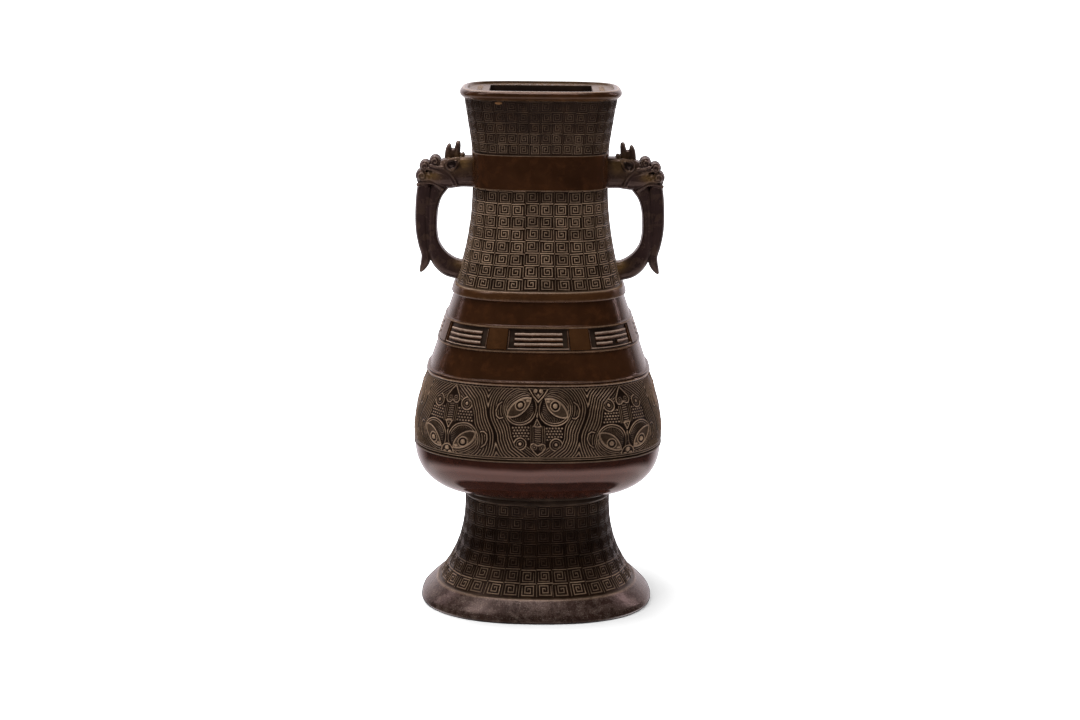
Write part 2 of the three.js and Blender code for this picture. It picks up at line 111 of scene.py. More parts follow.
def body_half(z):
    """The vessel's smooth outer half width at heights z, without its small steps and mouldings."""
    z = np.asarray(z, float)
    zones = [
        (RING, mix(74.3, 64.3, share(z, 0, RING))),
        (FLARE, flare_half(z)),
        (MOULDINGS, mix(47, 49, share(z, FLARE, MOULDINGS))),
        (UNDERSIDE, underside_half(z)),
        (FRIEZE, frieze_half(z)),
        (HIGH_SHOULDER, shoulder_half(z)),
        (NECK, neck_half(z)),
        (COLLAR, collar_half(z)),
    ]
    return np.select([z < top for top, _ in zones], [half for _, half in zones], throat_half(z))


def power_at(z):
    return np.interp(z, *POWER_STOPS)


# A quarter of the section for each squareness, as points at even steps of its length.
POWERS = np.linspace(2.3, 3.8, 31)
STEPS = 240


def quarter_tables():
    angle = np.linspace(0, np.pi / 2, 1601)
    xs, ys, girths = [], [], []
    for power in POWERS:
        x = np.sin(angle) ** (2 / power)
        y = DEPTH_RATIO * np.clip(np.cos(angle), 0, 1) ** (2 / power)
        run = np.concatenate([[0], np.cumsum(np.hypot(np.diff(x), np.diff(y)))])
        even = np.linspace(0, run[-1], STEPS + 1)
        xs.append(np.interp(even, run, x))
        ys.append(np.interp(even, run, y))
        girths.append(4 * run[-1])
    return np.array(xs), np.array(ys), np.array(girths)


QUARTER_X, QUARTER_Y, GIRTHS = quarter_tables()


def girth_of(half_of, z):
    """The length round the section of a zone at a height."""
    return float(half_of(np.float64(z)) * np.interp(power_at(z), POWERS, GIRTHS))


def section(turn, power):
    """Points of the unit section at shares of the way round it from the front centre towards the right side."""
    turn, power = np.broadcast_arrays(np.asarray(turn, float), np.asarray(power, float))
    quad = np.mod(turn, 1.0) * 4
    corner = np.floor(quad).astype(int)
    along = np.where(corner % 2 == 1, 1 - (quad - corner), quad - corner) * STEPS
    row = (power - POWERS[0]) / (POWERS[1] - POWERS[0])
    i = np.clip(np.floor(row).astype(int), 0, len(POWERS) - 2)
    j = np.clip(np.floor(along).astype(int), 0, STEPS - 1)
    fi, fj = row - i, along - j

    def read(table):
        low = mix(table[i, j], table[i, j + 1], fj)
        return mix(low, mix(table[i + 1, j], table[i + 1, j + 1], fj), fi)

    x, y = read(QUARTER_X), read(QUARTER_Y)
    return np.where(corner < 2, x, -x), np.where((corner == 0) | (corner == 3), -y, y)


def wobble(turn, z):
    """The slight unevenness of the casting, in millimetres."""
    a = 2 * np.pi * turn
    return (
        0.10 * np.sin(3 * a + z / 31 + 0.4)
        + 0.07 * np.sin(5 * a - z / 17 + 2.1)
        + 0.05 * np.sin(9 * a + z / 9.5)
        + 0.03 * np.sin(17 * a - z / 5.3 + 1.2)
    )


def surface(turn, z, lift, half_of=body_half):
    """Points on the vessel's outer surface, lifted along its normal."""
    turn, z, lift = np.broadcast_arrays(*(np.asarray(v, float) for v in (turn, z, lift)))

    def skin(t, level):
        x, y = section(t, power_at(level))
        half = half_of(level)
        return np.stack([half * x, half * y, level], -1)

    round_step = skin(turn + 0.0015, z) - skin(turn - 0.0015, z)
    up_step = skin(turn, z + 0.3) - skin(turn, z - 0.3)
    normal = np.cross(round_step, up_step)
    normal /= np.linalg.norm(normal, axis=-1, keepdims=True)
    return skin(turn, z) + normal * (lift + wobble(turn, z))[..., None]


def make_piece(name, points, faces, materials, face_slots=None, relief=None, sharp_deg=35.0):
    """A mesh object from points in millimetres, with sharp edges where faces turn by more than an angle."""
    mesh = bpy.data.meshes.new(name)
    mesh.from_pydata((np.asarray(points) * MM).tolist(), [], faces if isinstance(faces, list) else faces.tolist())
    for material in materials:
        mesh.materials.append(material)
    if face_slots is not None:
        mesh.polygons.foreach_set("material_index", np.asarray(face_slots, np.int32))
    if relief is not None:
        layer = mesh.attributes.new("relief", "FLOAT", "POINT")
        layer.data.foreach_set("value", np.asarray(relief, np.float32))
    mesh.polygons.foreach_set("use_smooth", np.ones(len(mesh.polygons), bool))
    mesh.update()
    if sharp_deg:
        mesh.set_sharp_from_angle(angle=math.radians(sharp_deg))
    piece = bpy.data.objects.new(name, mesh)
    bpy.context.scene.collection.objects.link(piece)
    return piece


def grid_faces(rows, columns, closed):
    """Quads of a grid of points in rows, whose columns may close into a loop."""
    spans = columns if closed else columns - 1
    i, j = np.meshgrid(np.arange(rows - 1) * columns, np.arange(spans), indexing="ij")
    k = (j + 1) % columns
    return np.stack([i + j, i + k, i + columns + k, i + columns + j], -1).reshape(-1, 4)


def tube_faces(rings, sides):
    """Quads of a tube of rings, with a cap on each end."""
    faces = grid_faces(rings, sides, True).tolist()
    faces.append(list(range(sides))[::-1])
    faces.append([(rings - 1) * sides + i for i in range(sides)])
    return faces


class Sweeps:
    """Raised lines of one piece: low ridges with flat crests, swept along paths drawn on the vessel."""

    def __init__(self, half_of=body_half, place=None):
        self.half_of = half_of
        self.place = place or (lambda turns, levels, lifts: surface(turns, levels, lifts, half_of))
        self.turns, self.levels, self.lifts, self.relief = [], [], [], []
        self.faces = []
        self.count = 0

    def line(self, middle_turn, middle_z, path, width, height, root=0.7, girth=None, tone=1.0, below=1.0):
        """Adds a ridge along a path in millimetres round a middle. Tone sets its wear, and below scales the wear of its
        lower half, as painted shade under light from above.
        """
        path = np.asarray(path, float)
        n = len(path)
        steps = np.diff(path, axis=0)
        steps /= np.maximum(np.linalg.norm(steps, axis=1, keepdims=True), 1e-9)
        a, b = np.vstack([steps[:1], steps]), np.vstack([steps, steps[-1:]])
        along = a + b
        along /= np.maximum(np.linalg.norm(along, axis=1, keepdims=True), 1e-9)
        mitre = 1 / np.clip((along * a).sum(1), 0.6, 1)
        side = np.stack([along[:, 1], -along[:, 0]], -1) * mitre[:, None]
        profile = [(0.56, -root, 0.0), (0.44, 0.45 * height, 0.3), (0.22, height, 1.0)]
        profile += [(-s, lift, r) for s, lift, r in reversed(profile)]
        girth = girth or girth_of(self.half_of, middle_z)
        # Strokes that run across are painted brighter than upright ones: painted light from above, on top of their
        # wear.
        tone = tone * (0.55 + 0.45 * np.abs(along[:, 0]))
        for s, lift, r in profile:
            p = path + side * s * width
            self.turns.append(middle_turn + p[:, 0] / girth)
            self.levels.append(middle_z + p[:, 1])
            self.lifts.append(np.full(n, lift))
            self.relief.append(r * tone * (below if s > 0 else 1.0))
        m = len(profile)
        starts = [self.count + k * n for k in range(m)]
        for low, high in zip(starts, starts[1:]):
            self.faces += [[low + i + 1, low + i, high + i, high + i + 1] for i in range(n - 1)]
        self.faces.append(starts)
        self.faces.append([start + n - 1 for start in reversed(starts)])
        self.count += m * n

    def piece(self, name, material):
        points = self.place(*(np.concatenate(v) for v in (self.turns, self.levels, self.lifts)))
        make_piece(name, points, self.faces, [material], None, np.concatenate(self.relief), 50)


def new_material(name):
    material = bpy.data.materials.new(name)
    material.use_nodes = True
    nodes = material.node_tree.nodes
    return material, nodes, material.node_tree.links, nodes["Principled BSDF"]


def ramp(nodes, links, source, stops):
    node = nodes.new("ShaderNodeValToRGB")
    while len(node.color_ramp.elements) < len(stops):
        node.color_ramp.elements.new(0.5)
    for element, (place, value) in zip(node.color_ramp.elements, stops):
        element.position = place
        element.color = (*value, 1) if isinstance(value, tuple) else (value, value, value, 1)
    links.new(source, node.inputs[0])
    return node.outputs[0]


def noise(nodes, links, coords, scale, detail=4.0, rough=0.55, distortion=0.0):
    node = nodes.new("ShaderNodeTexNoise")
    node.inputs["Scale"].default_value = scale
    node.inputs["Detail"].default_value = detail
    node.inputs["Roughness"].default_value = rough
    node.inputs["Distortion"].default_value = distortion
    links.new(coords, node.inputs["Vector"])
    return node.outputs["Fac"]


def blend(nodes, links, factor, a, b):
    """A colour mix, where a and b are colours or sockets."""
    node = nodes.new("ShaderNodeMix")
    node.data_type = "RGBA"
    links.new(factor, node.inputs["Factor"])
    for value, slot in ((a, 6), (b, 7)):
        if isinstance(value, tuple):
            node.inputs[slot].default_value = (*value, 1)
        else:
            links.new(value, node.inputs[slot])
    return node.outputs[2]


def maths(nodes, links, operation, a, b):
    node = nodes.new("ShaderNodeMath")
    node.operation = operation
    for value, slot in ((a, 0), (b, 1)):
        if isinstance(value, (int, float)):
            node.inputs[slot].default_value = value
        else:
            links.new(value, node.inputs[slot])
    return node.outputs[0]


def attribute(nodes, name):
    node = nodes.new("ShaderNodeAttribute")
    node.attribute_name = name
    return node.outputs["Fac"]


# The colours of rubbed metal, which also paint highlights on edges and ridges, of the sheen on the polished underside,
# and of the dirt and painted shade in hollows.
WORN_AND_HIGHLIGHT, PINK, SOOT_AND_SHADE = (0.54, 0.365, 0.24), (1.0, 0.60, 0.54), (0.003, 0.002, 0.002)


def bronze(name, skin, rough, worn=WORN_AND_HIGHLIGHT, tint=(1.0, 0.66, 0.55), level=0.5, bump=0.00012, gold_and_glint=None, speck=0.0):
    """Patinated bronze: a skin in three tones, worn bright on raised lines, which also paints highlights, and darkened
    in the hollows as dirt and painted shade.

    Rough is the range of its roughness. Gold colours the places of the gold attribute: a golden patina, and a painted
    glint at the handle's teeth.
    Speck is how strong the pale grains are; they also paint a speckled sheen.
    """
    dark, mid, warm = skin
    material, nodes, links, shader = new_material(name)
    coords = nodes.new("ShaderNodeTexCoord").outputs["Object"]
    broad = noise(nodes, links, coords, 38, 5, 0.6, 0.4)
    mottle = noise(nodes, links, coords, 170, 5, 0.62, 0.25)
    fine = noise(nodes, links, coords, 900, 3, 0.6)
    colour = blend(nodes, links, ramp(nodes, links, broad, [(0.36, 0.0), (0.66, 1.0)]), dark, mid)
    spots = ramp(nodes, links, mottle, [(0.5, 0.0), (0.68, 1.0)])
    colour = blend(nodes, links, maths(nodes, links, "MULTIPLY", spots, 0.8), colour, warm)
    if gold_and_glint:
        patch = ramp(nodes, links, mottle, [(0.3, 0.35), (0.6, 1.0)])
        colour = blend(nodes, links, maths(nodes, links, "MULTIPLY", attribute(nodes, "gold_and_glint"), patch), colour, gold_and_glint)
    # Pale grains, which also paint the speckled sheen on the foot ring.
    if speck:
        grains = noise(nodes, links, coords, 1500, 2, 0.7)
        grains = maths(nodes, links, "MULTIPLY", grains, ramp(nodes, links, mottle, [(0.3, 0.8), (0.6, 1.0)]))
        grains = ramp(nodes, links, grains, [(0.5, 0.0), (0.66, speck)])
        colour = blend(nodes, links, grains, colour, (0.42, 0.34, 0.28))
    relief = attribute(nodes, "relief")
    # Relief below zero darkens the colour towards soot: dirt, and painted shade in fret grounds, the frieze ground and
    # the handles' grooves.
    hollow = ramp(nodes, links, maths(nodes, links, "MULTIPLY", relief, -1.0), [(0.05, 0.0), (0.7, 0.75)])
    colour = blend(nodes, links, hollow, colour, SOOT_AND_SHADE)
    worn_by = maths(nodes, links, "MULTIPLY_ADD", fine, 1.1)
    worn_by.node.inputs[2].default_value = 0.4
    worn_by = maths(nodes, links, "MULTIPLY", worn_by, ramp(nodes, links, mottle, [(0.3, 0.7), (0.7, 1.0)]))
    # Relief above zero moves the colour towards the rubbed-metal colour: wear on crests and edges, and painted
    # highlights where the relief attribute is raised for edges and upper halves in the light.
    worn_and_lit = ramp(nodes, links, maths(nodes, links, "MULTIPLY", relief, worn_by), [(0.12, 0.0), (0.95, 1.0)])
    colour = blend(nodes, links, worn_and_lit, colour, worn)
    links.new(colour, shader.inputs["Base Color"])
    low, high = rough
    links.new(ramp(nodes, links, mottle, [(0.3, low), (0.75, high)]), shader.inputs["Roughness"])
    shader.inputs["Metallic"].default_value = 0.0
    shader.inputs["Specular IOR Level"].default_value = level
    shader.inputs["Specular Tint"].default_value = (*tint, 1)
    height = maths(nodes, links, "ADD", maths(nodes, links, "MULTIPLY", fine, 0.5), mottle)
    bumps = nodes.new("ShaderNodeBump")
    bumps.inputs["Distance"].default_value = bump
    bumps.inputs["Strength"].default_value = 1.0
    links.new(height, bumps.inputs["Height"])
    links.new(bumps.outputs["Normal"], shader.inputs["Normal"])
    return material


PLAIN = bronze("bronze_plain", [(0.038, 0.014, 0.005), (0.060, 0.022, 0.008), (0.080, 0.027, 0.009)], (0.13, 0.23))
LEDGE_METAL = bronze(
    "bronze_ledge", [(0.058, 0.023, 0.008), (0.086, 0.035, 0.012), (0.105, 0.042, 0.014)], (0.16, 0.28)
)
# The flange's golden brown is its own tone, made lighter as painted light on its up-facing flat.
FLANGE_LIT_METAL = bronze(
    "bronze_flange_lit", [(0.070, 0.038, 0.016), (0.120, 0.066, 0.028), (0.165, 0.095, 0.040)], (0.25, 0.4)
)
PANEL = bronze("bronze_panel", [(0.024, 0.015, 0.010), (0.044, 0.028, 0.019), (0.060, 0.040, 0.028)], (0.3, 0.45))
RING_METAL = bronze(
    "bronze_ring", [(0.030, 0.012, 0.008), (0.056, 0.026, 0.018), (0.10, 0.055, 0.042)], (0.22, 0.36),
    tint=(1.0, 0.72, 0.66), level=0.8, speck=0.7,
)
POLISHED = bronze(
    "bronze_polished", [(0.034, 0.009, 0.005), (0.050, 0.014, 0.008), (0.066, 0.018, 0.010)], (0.03, 0.05),
    tint=PINK, level=0.95, bump=0.000002,
)
GROUND = bronze(
    "bronze_ground", [(0.014, 0.006, 0.0025), (0.027, 0.012, 0.005), (0.043, 0.019, 0.007)], (0.30, 0.48), level=0.4
)
# The cavity and the inside of the foot, kept very dark as painted shade.
INSIDE_SHADED = bronze("bronze_inside_shaded", [(0.010, 0.005, 0.003), (0.022, 0.011, 0.006), (0.034, 0.016, 0.008)], (0.5, 0.75))
HANDLE = bronze(
    "bronze_handle", [(0.034, 0.018, 0.017), (0.058, 0.032, 0.030), (0.080, 0.045, 0.030)], (0.18, 0.36),
    worn=(0.34, 0.23, 0.17), gold_and_glint=(0.24, 0.135, 0.048),
)
# The ribs' pale worn colour is rubbed wear and also the painted highlight along their upper edges.
RIB = bronze(
    "bronze_rib", [(0.046, 0.014, 0.004), (0.074, 0.025, 0.006), (0.100, 0.031, 0.009)], (0.2, 0.3),
    worn=(0.85, 0.64, 0.50),
)
FLAW = bronze("bronze_flaw", [(0.30, 0.14, 0.05), (0.38, 0.18, 0.07), (0.42, 0.22, 0.10)], (0.4, 0.6))

# The vessel's skins, and the places of each in its list of materials.
SKINS = [PLAIN, GROUND, POLISHED, INSIDE_SHADED, INSIDE_SHADED, RING_METAL, LEDGE_METAL, PANEL, FLANGE_LIT_METAL]
PLAIN_AT, GROUND_AT, POLISHED_AT, INSIDE_AT, UNDER_AT, RING_AT, LEDGE_AT, PANEL_AT, FLANGE_AT = range(9)

WALL = 3.5
MOUTH_HALF_WIDTH, MOUTH_HALF_DEPTH = 31.6, 24.8
FLANGE_LEVEL = 328.5
FACETS = 288


def outer_profile():
    """(height, half width, material's place) up the outside, from the foot's ground edge to the seat in the lip."""
    rows = []

    def add(slot, *pairs):
        rows.extend((z, half, slot) for z, half in pairs)

    def follow(slot, half_of, levels, lift=0.0):
        rows.extend((z, float(half_of(z)) + lift, slot) for z in levels)

    add(RING_AT, (0.0, 72.8), (0.5, 73.5), (1.6, 74.3), (2.6, 74.15), (3.2, 73.8))
    follow(RING_AT, lambda z: mix(73.6, 64.6, ((z - 4) / 9.2) ** 1.15), np.linspace(4, 13.2, 9))
    add(RING_AT, (13.6, 64.1))
    add(GROUND_AT, (13.75, 63.4))
    follow(GROUND_AT, flare_half, np.linspace(13.8, 70.4, 26), -0.2)
    add(PANEL_AT, (70.6, 45.9), (70.8, 46.7), (71.6, 47.3), (73.2, 47.2), (73.9, 46.7))
    add(PANEL_AT, (74.1, 47.2), (74.4, 48.4), (75.4, 49.2), (76.8, 49.1), (77.3, 48.4))
    add(POLISHED_AT, (77.4, 50.6))
    follow(POLISHED_AT, underside_half, UNDERSIDE - 28.2 * np.linspace(1, 0, 34)[1:] ** 1.5)
    add(GROUND_AT, (105.65, 78.5), (106.2, 78.75), (106.9, 78.55), (107.2, 77.9))
    follow(GROUND_AT, frieze_half, np.linspace(107.5, 151.6, 7), -1.2)
    add(PLAIN_AT, (152.0, 69.0), (152.3, 70.3), (153.0, 70.6), (153.7, 70.2), (154.0, 69.4))
    add(PLAIN_AT, (154.3, 69.9), (155.0, 70.0), (155.5, 69.5), (155.7, 68.65))
    follow(PLAIN_AT, shoulder_half, np.linspace(156.3, 171.9, 12))
    for z, lift in ((172.1, 0.3), (172.3, 0.85), (173.0, 0.95), (173.7, 0.85)):
        follow(PLAIN_AT, shoulder_half, [z], lift)
    for z, lift in ((173.9, 0.0), (174.1, -0.7), (180.1, -0.7), (186.1, -0.7), (186.3, 0.0)):
        follow(PANEL_AT, shoulder_half, [z], lift)
    for z, lift in ((186.5, 0.85), (187.2, 0.95), (187.9, 0.85), (188.1, 0.3)):
        follow(PLAIN_AT, shoulder_half, [z], lift)
    follow(PLAIN_AT, shoulder_half, np.linspace(188.4, 202.1, 10))
    add(PLAIN_AT, (202.3, 53.4))
    add(LEDGE_AT, (202.5, 54.2), (203.2, 54.5), (205.5, 53.9), (207.6, 53.2), (208.1, 52.6))
    add(GROUND_AT, (208.25, 51.7))
    follow(GROUND_AT, neck_half, np.linspace(208.3, 269.0, 24), -0.2)
    add(PLAIN_AT, (269.2, 41.9), (269.5, 42.6))
    follow(PLAIN_AT, collar_half, np.linspace(270.2, 290.2, 10))
    add(PLAIN_AT, (290.7, 42.5))
    add(GROUND_AT, (290.9, 41.8))
    follow(GROUND_AT, throat_half, np.linspace(291.0, 324.0, 14), -0.2)
    add(PLAIN_AT, (324.3, 47.2))
    add(LEDGE_AT, (324.8, 48.2), (325.6, 49.1), (326.6, 49.6), (327.6, 49.7))
    add(PLAIN_AT, (328.5, 49.3), (329.3, 48.5), (329.8, 47.4), (TOP, 46.4), (TOP, 45.3))
    add(FLANGE_AT, (329.8, 44.8), (329.3, 44.55), (328.75, 44.4), (328.55, 44.1), (FLANGE_LEVEL, 40.0))
    return rows


# Heights of the edges made bright, as rubbed wear and as painted highlights where the lip, the mouldings and the foot
# ring's top catch the light, with how far each reaches and how strong it is.
WORN_AND_LIT_EDGES = [(1.5, 0.4, 0.3), (13.4, 0.4, 0.7), (71.4, 0.4, 0.12), (75.6, 0.5, 0.15), (106.3, 0.4, 0.6)]
WORN_AND_LIT_EDGES += [(153.0, 0.35, 0.8), (155.2, 0.3, 0.5), (172.8, 0.4, 0.7), (187.4, 0.4, 0.8), (203.0, 0.3, 0.4)]
WORN_AND_LIT_EDGES += [(208.0, 0.35, 0.9), (269.5, 0.25, 0.6), (290.6, 0.25, 0.8), (324.5, 0.22, 0.8), (329.75, 0.18, 1.0)]


def wear_and_highlight_at(z, half, slot):
    """How bright the outside is at a height, as wear and painted edge highlights. The ground of the frets is darkened
    as dirt and painted shade, and the lip's inner edge is left plain.
    """
    worn = sum(amount * math.exp(-(((z - at) / reach) ** 2)) for at, reach, amount in WORN_AND_LIT_EDGES)
    if z >= 329 and half <= 47:
        return 0.0
    return -0.3 if slot == GROUND_AT and worn < 0.05 else worn


def inside_half(z):
    """The half width and half depth of the cavity at a height, a wall's thickness inside the body."""
    slope = float(body_half(z + 0.5) - body_half(z - 0.5))
    half = float(body_half(z))
    inset = WALL * min(2.6, math.hypot(1, slope))
    return half - inset, half * DEPTH_RATIO - inset


def rectangle(turn, half_width, half_depth):
    """Points of a rectangle at shares of the way round, with a corner at the middle of each quarter."""
    quad = np.mod(turn, 1.0) * 4
    corner = np.floor(quad).astype(int)
    along = np.where(corner % 2 == 1, 1 - (quad - corner), quad - corner)
    x = half_width * np.clip(2 * along, 0, 1)
    y = half_depth * np.clip(2 - 2 * along, 0, 1)
    return np.where(corner < 2, x, -x), np.where((corner == 0) | (corner == 3), -y, y)


# Heights of the cavity's rings, from the mouth down.
CAVITY_LEVELS = [322, 316, 308, 299, 290, 280, 270, 258, 246, 234, 222, 212, 204, 192, 180, 168, 156, 145, 134, 123]
CAVITY_LEVELS += [112, 105, 99, 94, 89, 85, 82.5]


def vessel_body():
    """The whole vessel as one skin: down inside the foot to its land, up the outside, over the lip, down the cavity."""
    turn = np.arange(FACETS) / FACETS
    rings, slots, wear = [], [], []

    def add(x, y, z, slot, worn=0.0):
        rings.append(np.stack([x, y, np.full(FACETS, z)], -1))
        slots.append(slot)
        wear.append(worn)

    def inner(z, slot, level=None, scale=1.0):
        half, depth = inside_half(z)
        x, y = section(turn, power_at(z))
        add(scale * half * x, scale * depth / DEPTH_RATIO * y, z if level is None else level, slot)

    inner(69.7, UNDER_AT, 75.3, 0.02)
    inner(69.7, UNDER_AT, 75.3, 0.98)
    inner(69.7, UNDER_AT, 74.3)
    for z in np.linspace(68, 17, 14):
        inner(z, UNDER_AT)
    x, y = section(turn, 2.4)
    for z, cut in ((7.0, 7.0), (0.6, 6.2), (0.0, 5.6)):
        add((72.8 - cut) * x, (72.8 * DEPTH_RATIO - cut) / DEPTH_RATIO * y, z, UNDER_AT)
    for z, half, slot in outer_profile():
        x, y = section(turn, power_at(z))
        swell = wobble(turn, z) * (1.0 if 1 < z < 329 else 0.0)
        # Each ring's wear value includes painted edge highlights, and fret ground darkened as dirt and painted shade.
        add((half + swell) * x, (half + swell) * y, z, slot, wear_and_highlight_at(z, half, slot))
    mouth = [(FLANGE_LEVEL - 0.05, 0.5, FLANGE_AT), (328.35, 0.12, FLANGE_AT), (328.0, 0, FLANGE_AT)]
    for z, grow, slot in mouth + [(324.6, 0, INSIDE_AT)]:
        x, y = rectangle(turn, MOUTH_HALF_WIDTH + grow, MOUTH_HALF_DEPTH + grow)
        add(x, y, z, slot)
    inner(323.4, INSIDE_AT, 324.5)
    for z in CAVITY_LEVELS:
        inner(z, INSIDE_AT)
    inner(82.3, INSIDE_AT, 80.4, 0.9)
    inner(82.3, INSIDE_AT, 80.3, 0.02)
    points, faces = np.concatenate(rings), tube_faces(len(rings), FACETS)
    face_slots = np.concatenate([np.repeat(np.array(slots)[1:], FACETS), [UNDER_AT, INSIDE_AT]])
    make_piece("vessel_body", points, faces, SKINS, face_slots, np.repeat(wear, FACETS), 32)


# A square spiral of two turns in a unit cell, from its outer corner to its middle.
SPIRAL = [(-0.33, 0.33), (-0.33, -0.33), (0.33, -0.33), (0.33, 0.33), (-0.16, 0.33)]
SPIRAL += [(-0.16, -0.15), (0.16, -0.15), (0.16, 0.15), (0.0, 0.15), (0.0, 0.02)]


def spiral(wide, high, flip, shake):
    """The spiral in a cell of a given size, with its corners shaken a little."""
    return np.array(SPIRAL) * [wide * flip, high] + RNG.normal(0, shake, (len(SPIRAL), 2))


def fret_band(name, low, high, rows, columns, half_of, width, height, tones):
    """Rows of framed square spirals round the vessel. Each row has its own tone of wear, from the lowest up."""
    sweeps = Sweeps(half_of)
    tall = (high - low) / rows
    sway = RNG.normal(0, 0.12, columns)
    for r in range(rows):
        middle = low + (r + 0.5) * tall
        girth = girth_of(half_of, middle)
        wide = girth / columns
        for c in range(columns):
            turn = (c + 0.5) / columns + RNG.normal(0, 0.02) / columns
            z = middle + sway[c] + RNG.normal(0, 0.08)
            flip = 1 if (c + r) % 2 else -1
            path = spiral(wide, tall, flip, 0.07)
            tone = tones[r] * RNG.uniform(0.75, 1.15)
            high_here = height * RNG.uniform(0.8, 1.1)
            sweeps.line(turn, z, path, width, high_here, girth=girth, tone=tone)
            ends = RNG.normal(0, 0.1, 2)
            top = [(-0.46 * wide, 0.5 * tall + ends[0]), (0, 0.5 * tall), (0.46 * wide, 0.5 * tall + ends[1])]
            sweeps.line(turn, z, top, width, high_here, girth=girth, tone=tone)
            left = [(-0.5 * wide, -0.44 * tall), (-0.5 * wide + RNG.normal(0, 0.08), 0.44 * tall)]
            sweeps.line(turn, z, left, width * 0.9, high_here * 0.9, girth=girth, tone=1.1 * tone)
    sweeps.piece(name, GROUND)


def flange_fret():
    """Small square spirals on the flat of the mouth's flange."""
    sweeps = Sweeps(place=lambda across, deep, lifts: np.stack([across, deep, FLANGE_LEVEL - 0.05 + lifts], -1))
    cell = 4.7
    for i in range(-8, 9):
        for j in range(-7, 8):
            x, y = i * cell, j * cell
            in_mouth = abs(x) < MOUTH_HALF_WIDTH + 2.6 and abs(y) < MOUTH_HALF_DEPTH + 2.4
            if in_mouth or (abs(x) / 43.2) ** 3.7 + (abs(y) / 34.4) ** 3.7 > 0.7:
                continue
            path = spiral(cell, cell, 1 if (i + j) % 2 else -1, 0.04)
            sweeps.line(x, y, path, 0.55, 0.25, 0.3, girth=1.0, tone=RNG.uniform(0.4, 0.8))
    sweeps.piece("flange_fret", FLANGE_LIT_METAL)


def casting_flaw():
    """A small bright lump left under the lip."""
    rng = np.random.default_rng(3)
    x, z, half_long, half_high, tall = -25.6, 322.7, 2.3, 0.9, 0.75
    girth = girth_of(throat_half, 322.6)
    lat, lon = np.meshgrid(np.linspace(0, np.pi / 2, 8)[:-1], np.arange(20) / 20 * 2 * np.pi, indexing="ij")
    u = half_long * np.cos(lat) * np.cos(lon) * rng.uniform(0.85, 1.15, lat.shape)
    v = half_high * np.cos(lat) * np.sin(lon) * rng.uniform(0.85, 1.15, lat.shape)
    points = surface((x + u) / girth, z + v, tall * np.sin(lat) - 0.2, throat_half).reshape(-1, 3)
    rings, sides = lat.shape
    faces = grid_faces(rings, sides, True).tolist() + [[(rings - 1) * sides + i for i in range(sides)]]
    make_piece("casting_flaw", points, faces, [FLAW], sharp_deg=0)


def raised_block(turn, z, half_long, half_high, top, half_of):
    """Turns, levels and lifts of a grid that makes a raised block with bevelled edges."""
    shares = np.array([-1.0, -1.0, -0.985, 0.0, 0.985, 1.0, 1.0])
    lifts = [-0.8, top - 0.25, top, top, top, top - 0.25, -0.8]
    gx, gy = np.meshgrid(half_long * shares, half_high * shares)
    return turn + gx / girth_of(half_of, z), z + gy, np.minimum(*np.meshgrid(lifts, lifts))


def rib_band():
    """Eight sunk panels, each with three ribs, and the plain blocks between them."""
    middle = (LOW_SHOULDER + RIBS) / 2
    girth = girth_of(shoulder_half, middle)
    face_half, side_half, block, margin, tall = 19.0, 14.0, 12.0, 4.4, 12.0
    face_edge = face_half + block
    side_edge = girth / 4 - side_half - block
    corner_at, corner_half = (face_edge + side_edge) / 2, (side_edge - face_edge) / 2
    bars = Sweeps(shoulder_half)
    panels, blocks = [], []
    for base in (0.0, 0.5):
        panels += [(base, face_half), (base + 0.25, side_half)]
        for hand in (-1, 1):
            panels.append((base + hand * corner_at / girth, corner_half))
            blocks.append(base + hand * (face_half + block / 2) / girth)
            blocks.append(base + hand * (side_edge + block / 2) / girth)
    for turn, half in panels:
        edge, reach = half - 0.8, half - margin
        low_edge = [(x, -tall / 2 + 0.5 + RNG.normal(0, 0.04)) for x in np.linspace(-edge, edge, 13)]
        bars.line(turn, middle, low_edge, 0.9, 0.45, tone=0.62)
        for x in (-edge, edge):
            bars.line(turn, middle, [(x, -tall / 2 + 1.0), (x, 0), (x, tall / 2 - 0.6)], 0.9, 0.35, tone=0.45)
        for i in range(3):
            y = tall * ((i + 1) / 4 - 0.5)
            broken = i == 0 and 0 < turn < 0.25
            ends, count = (-1.5, 6) if broken else (reach, 13)
            path = [(x, y + RNG.normal(0, 0.05)) for x in np.linspace(-reach, ends, count)]
            # The ribs' lower halves get a quarter of the pale colour: painted shade under the light from above, leaving
            # the upper edges as painted highlights.
            bars.line(turn, middle, path, 2.1, 0.9, tone=0.85, below=0.25)
            if broken:
                path = [(x, y + 0.2) for x in np.linspace(2.5, reach, 4)]
                bars.line(turn, middle, path, 2.0, 0.8, tone=0.82, below=0.25)
    bars.piece("rib_bars", RIB)
    points, faces = [], []
    for turn in blocks:
        t, z, lift = raised_block(turn, middle, block / 2, tall / 2 + 0.3, 0.85, shoulder_half)
        faces.append(grid_faces(*t.shape, False) + t.size * len(points))
        points.append(surface(t, z, lift, shoulder_half).reshape(-1, 3))
    make_piece("rib_blocks", np.concatenate(points), np.concatenate(faces), [LEDGE_METAL])


def segment_distance(x, y, path, closed=False):
    """The distance from points to a path of straight pieces."""
    path = np.asarray(path, float)
    ends = np.roll(path, -1, 0) if closed else path[1:]
    best = np.full(x.shape, 1e9)
    for (ax, ay), (bx, by) in zip(path, ends):
        dx, dy = bx - ax, by - ay
        t = np.clip(((x - ax) * dx + (y - ay) * dy) / (dx * dx + dy * dy), 0, 1)
        best = np.minimum(best, np.hypot(x - ax - t * dx, y - ay - t * dy))
    return best


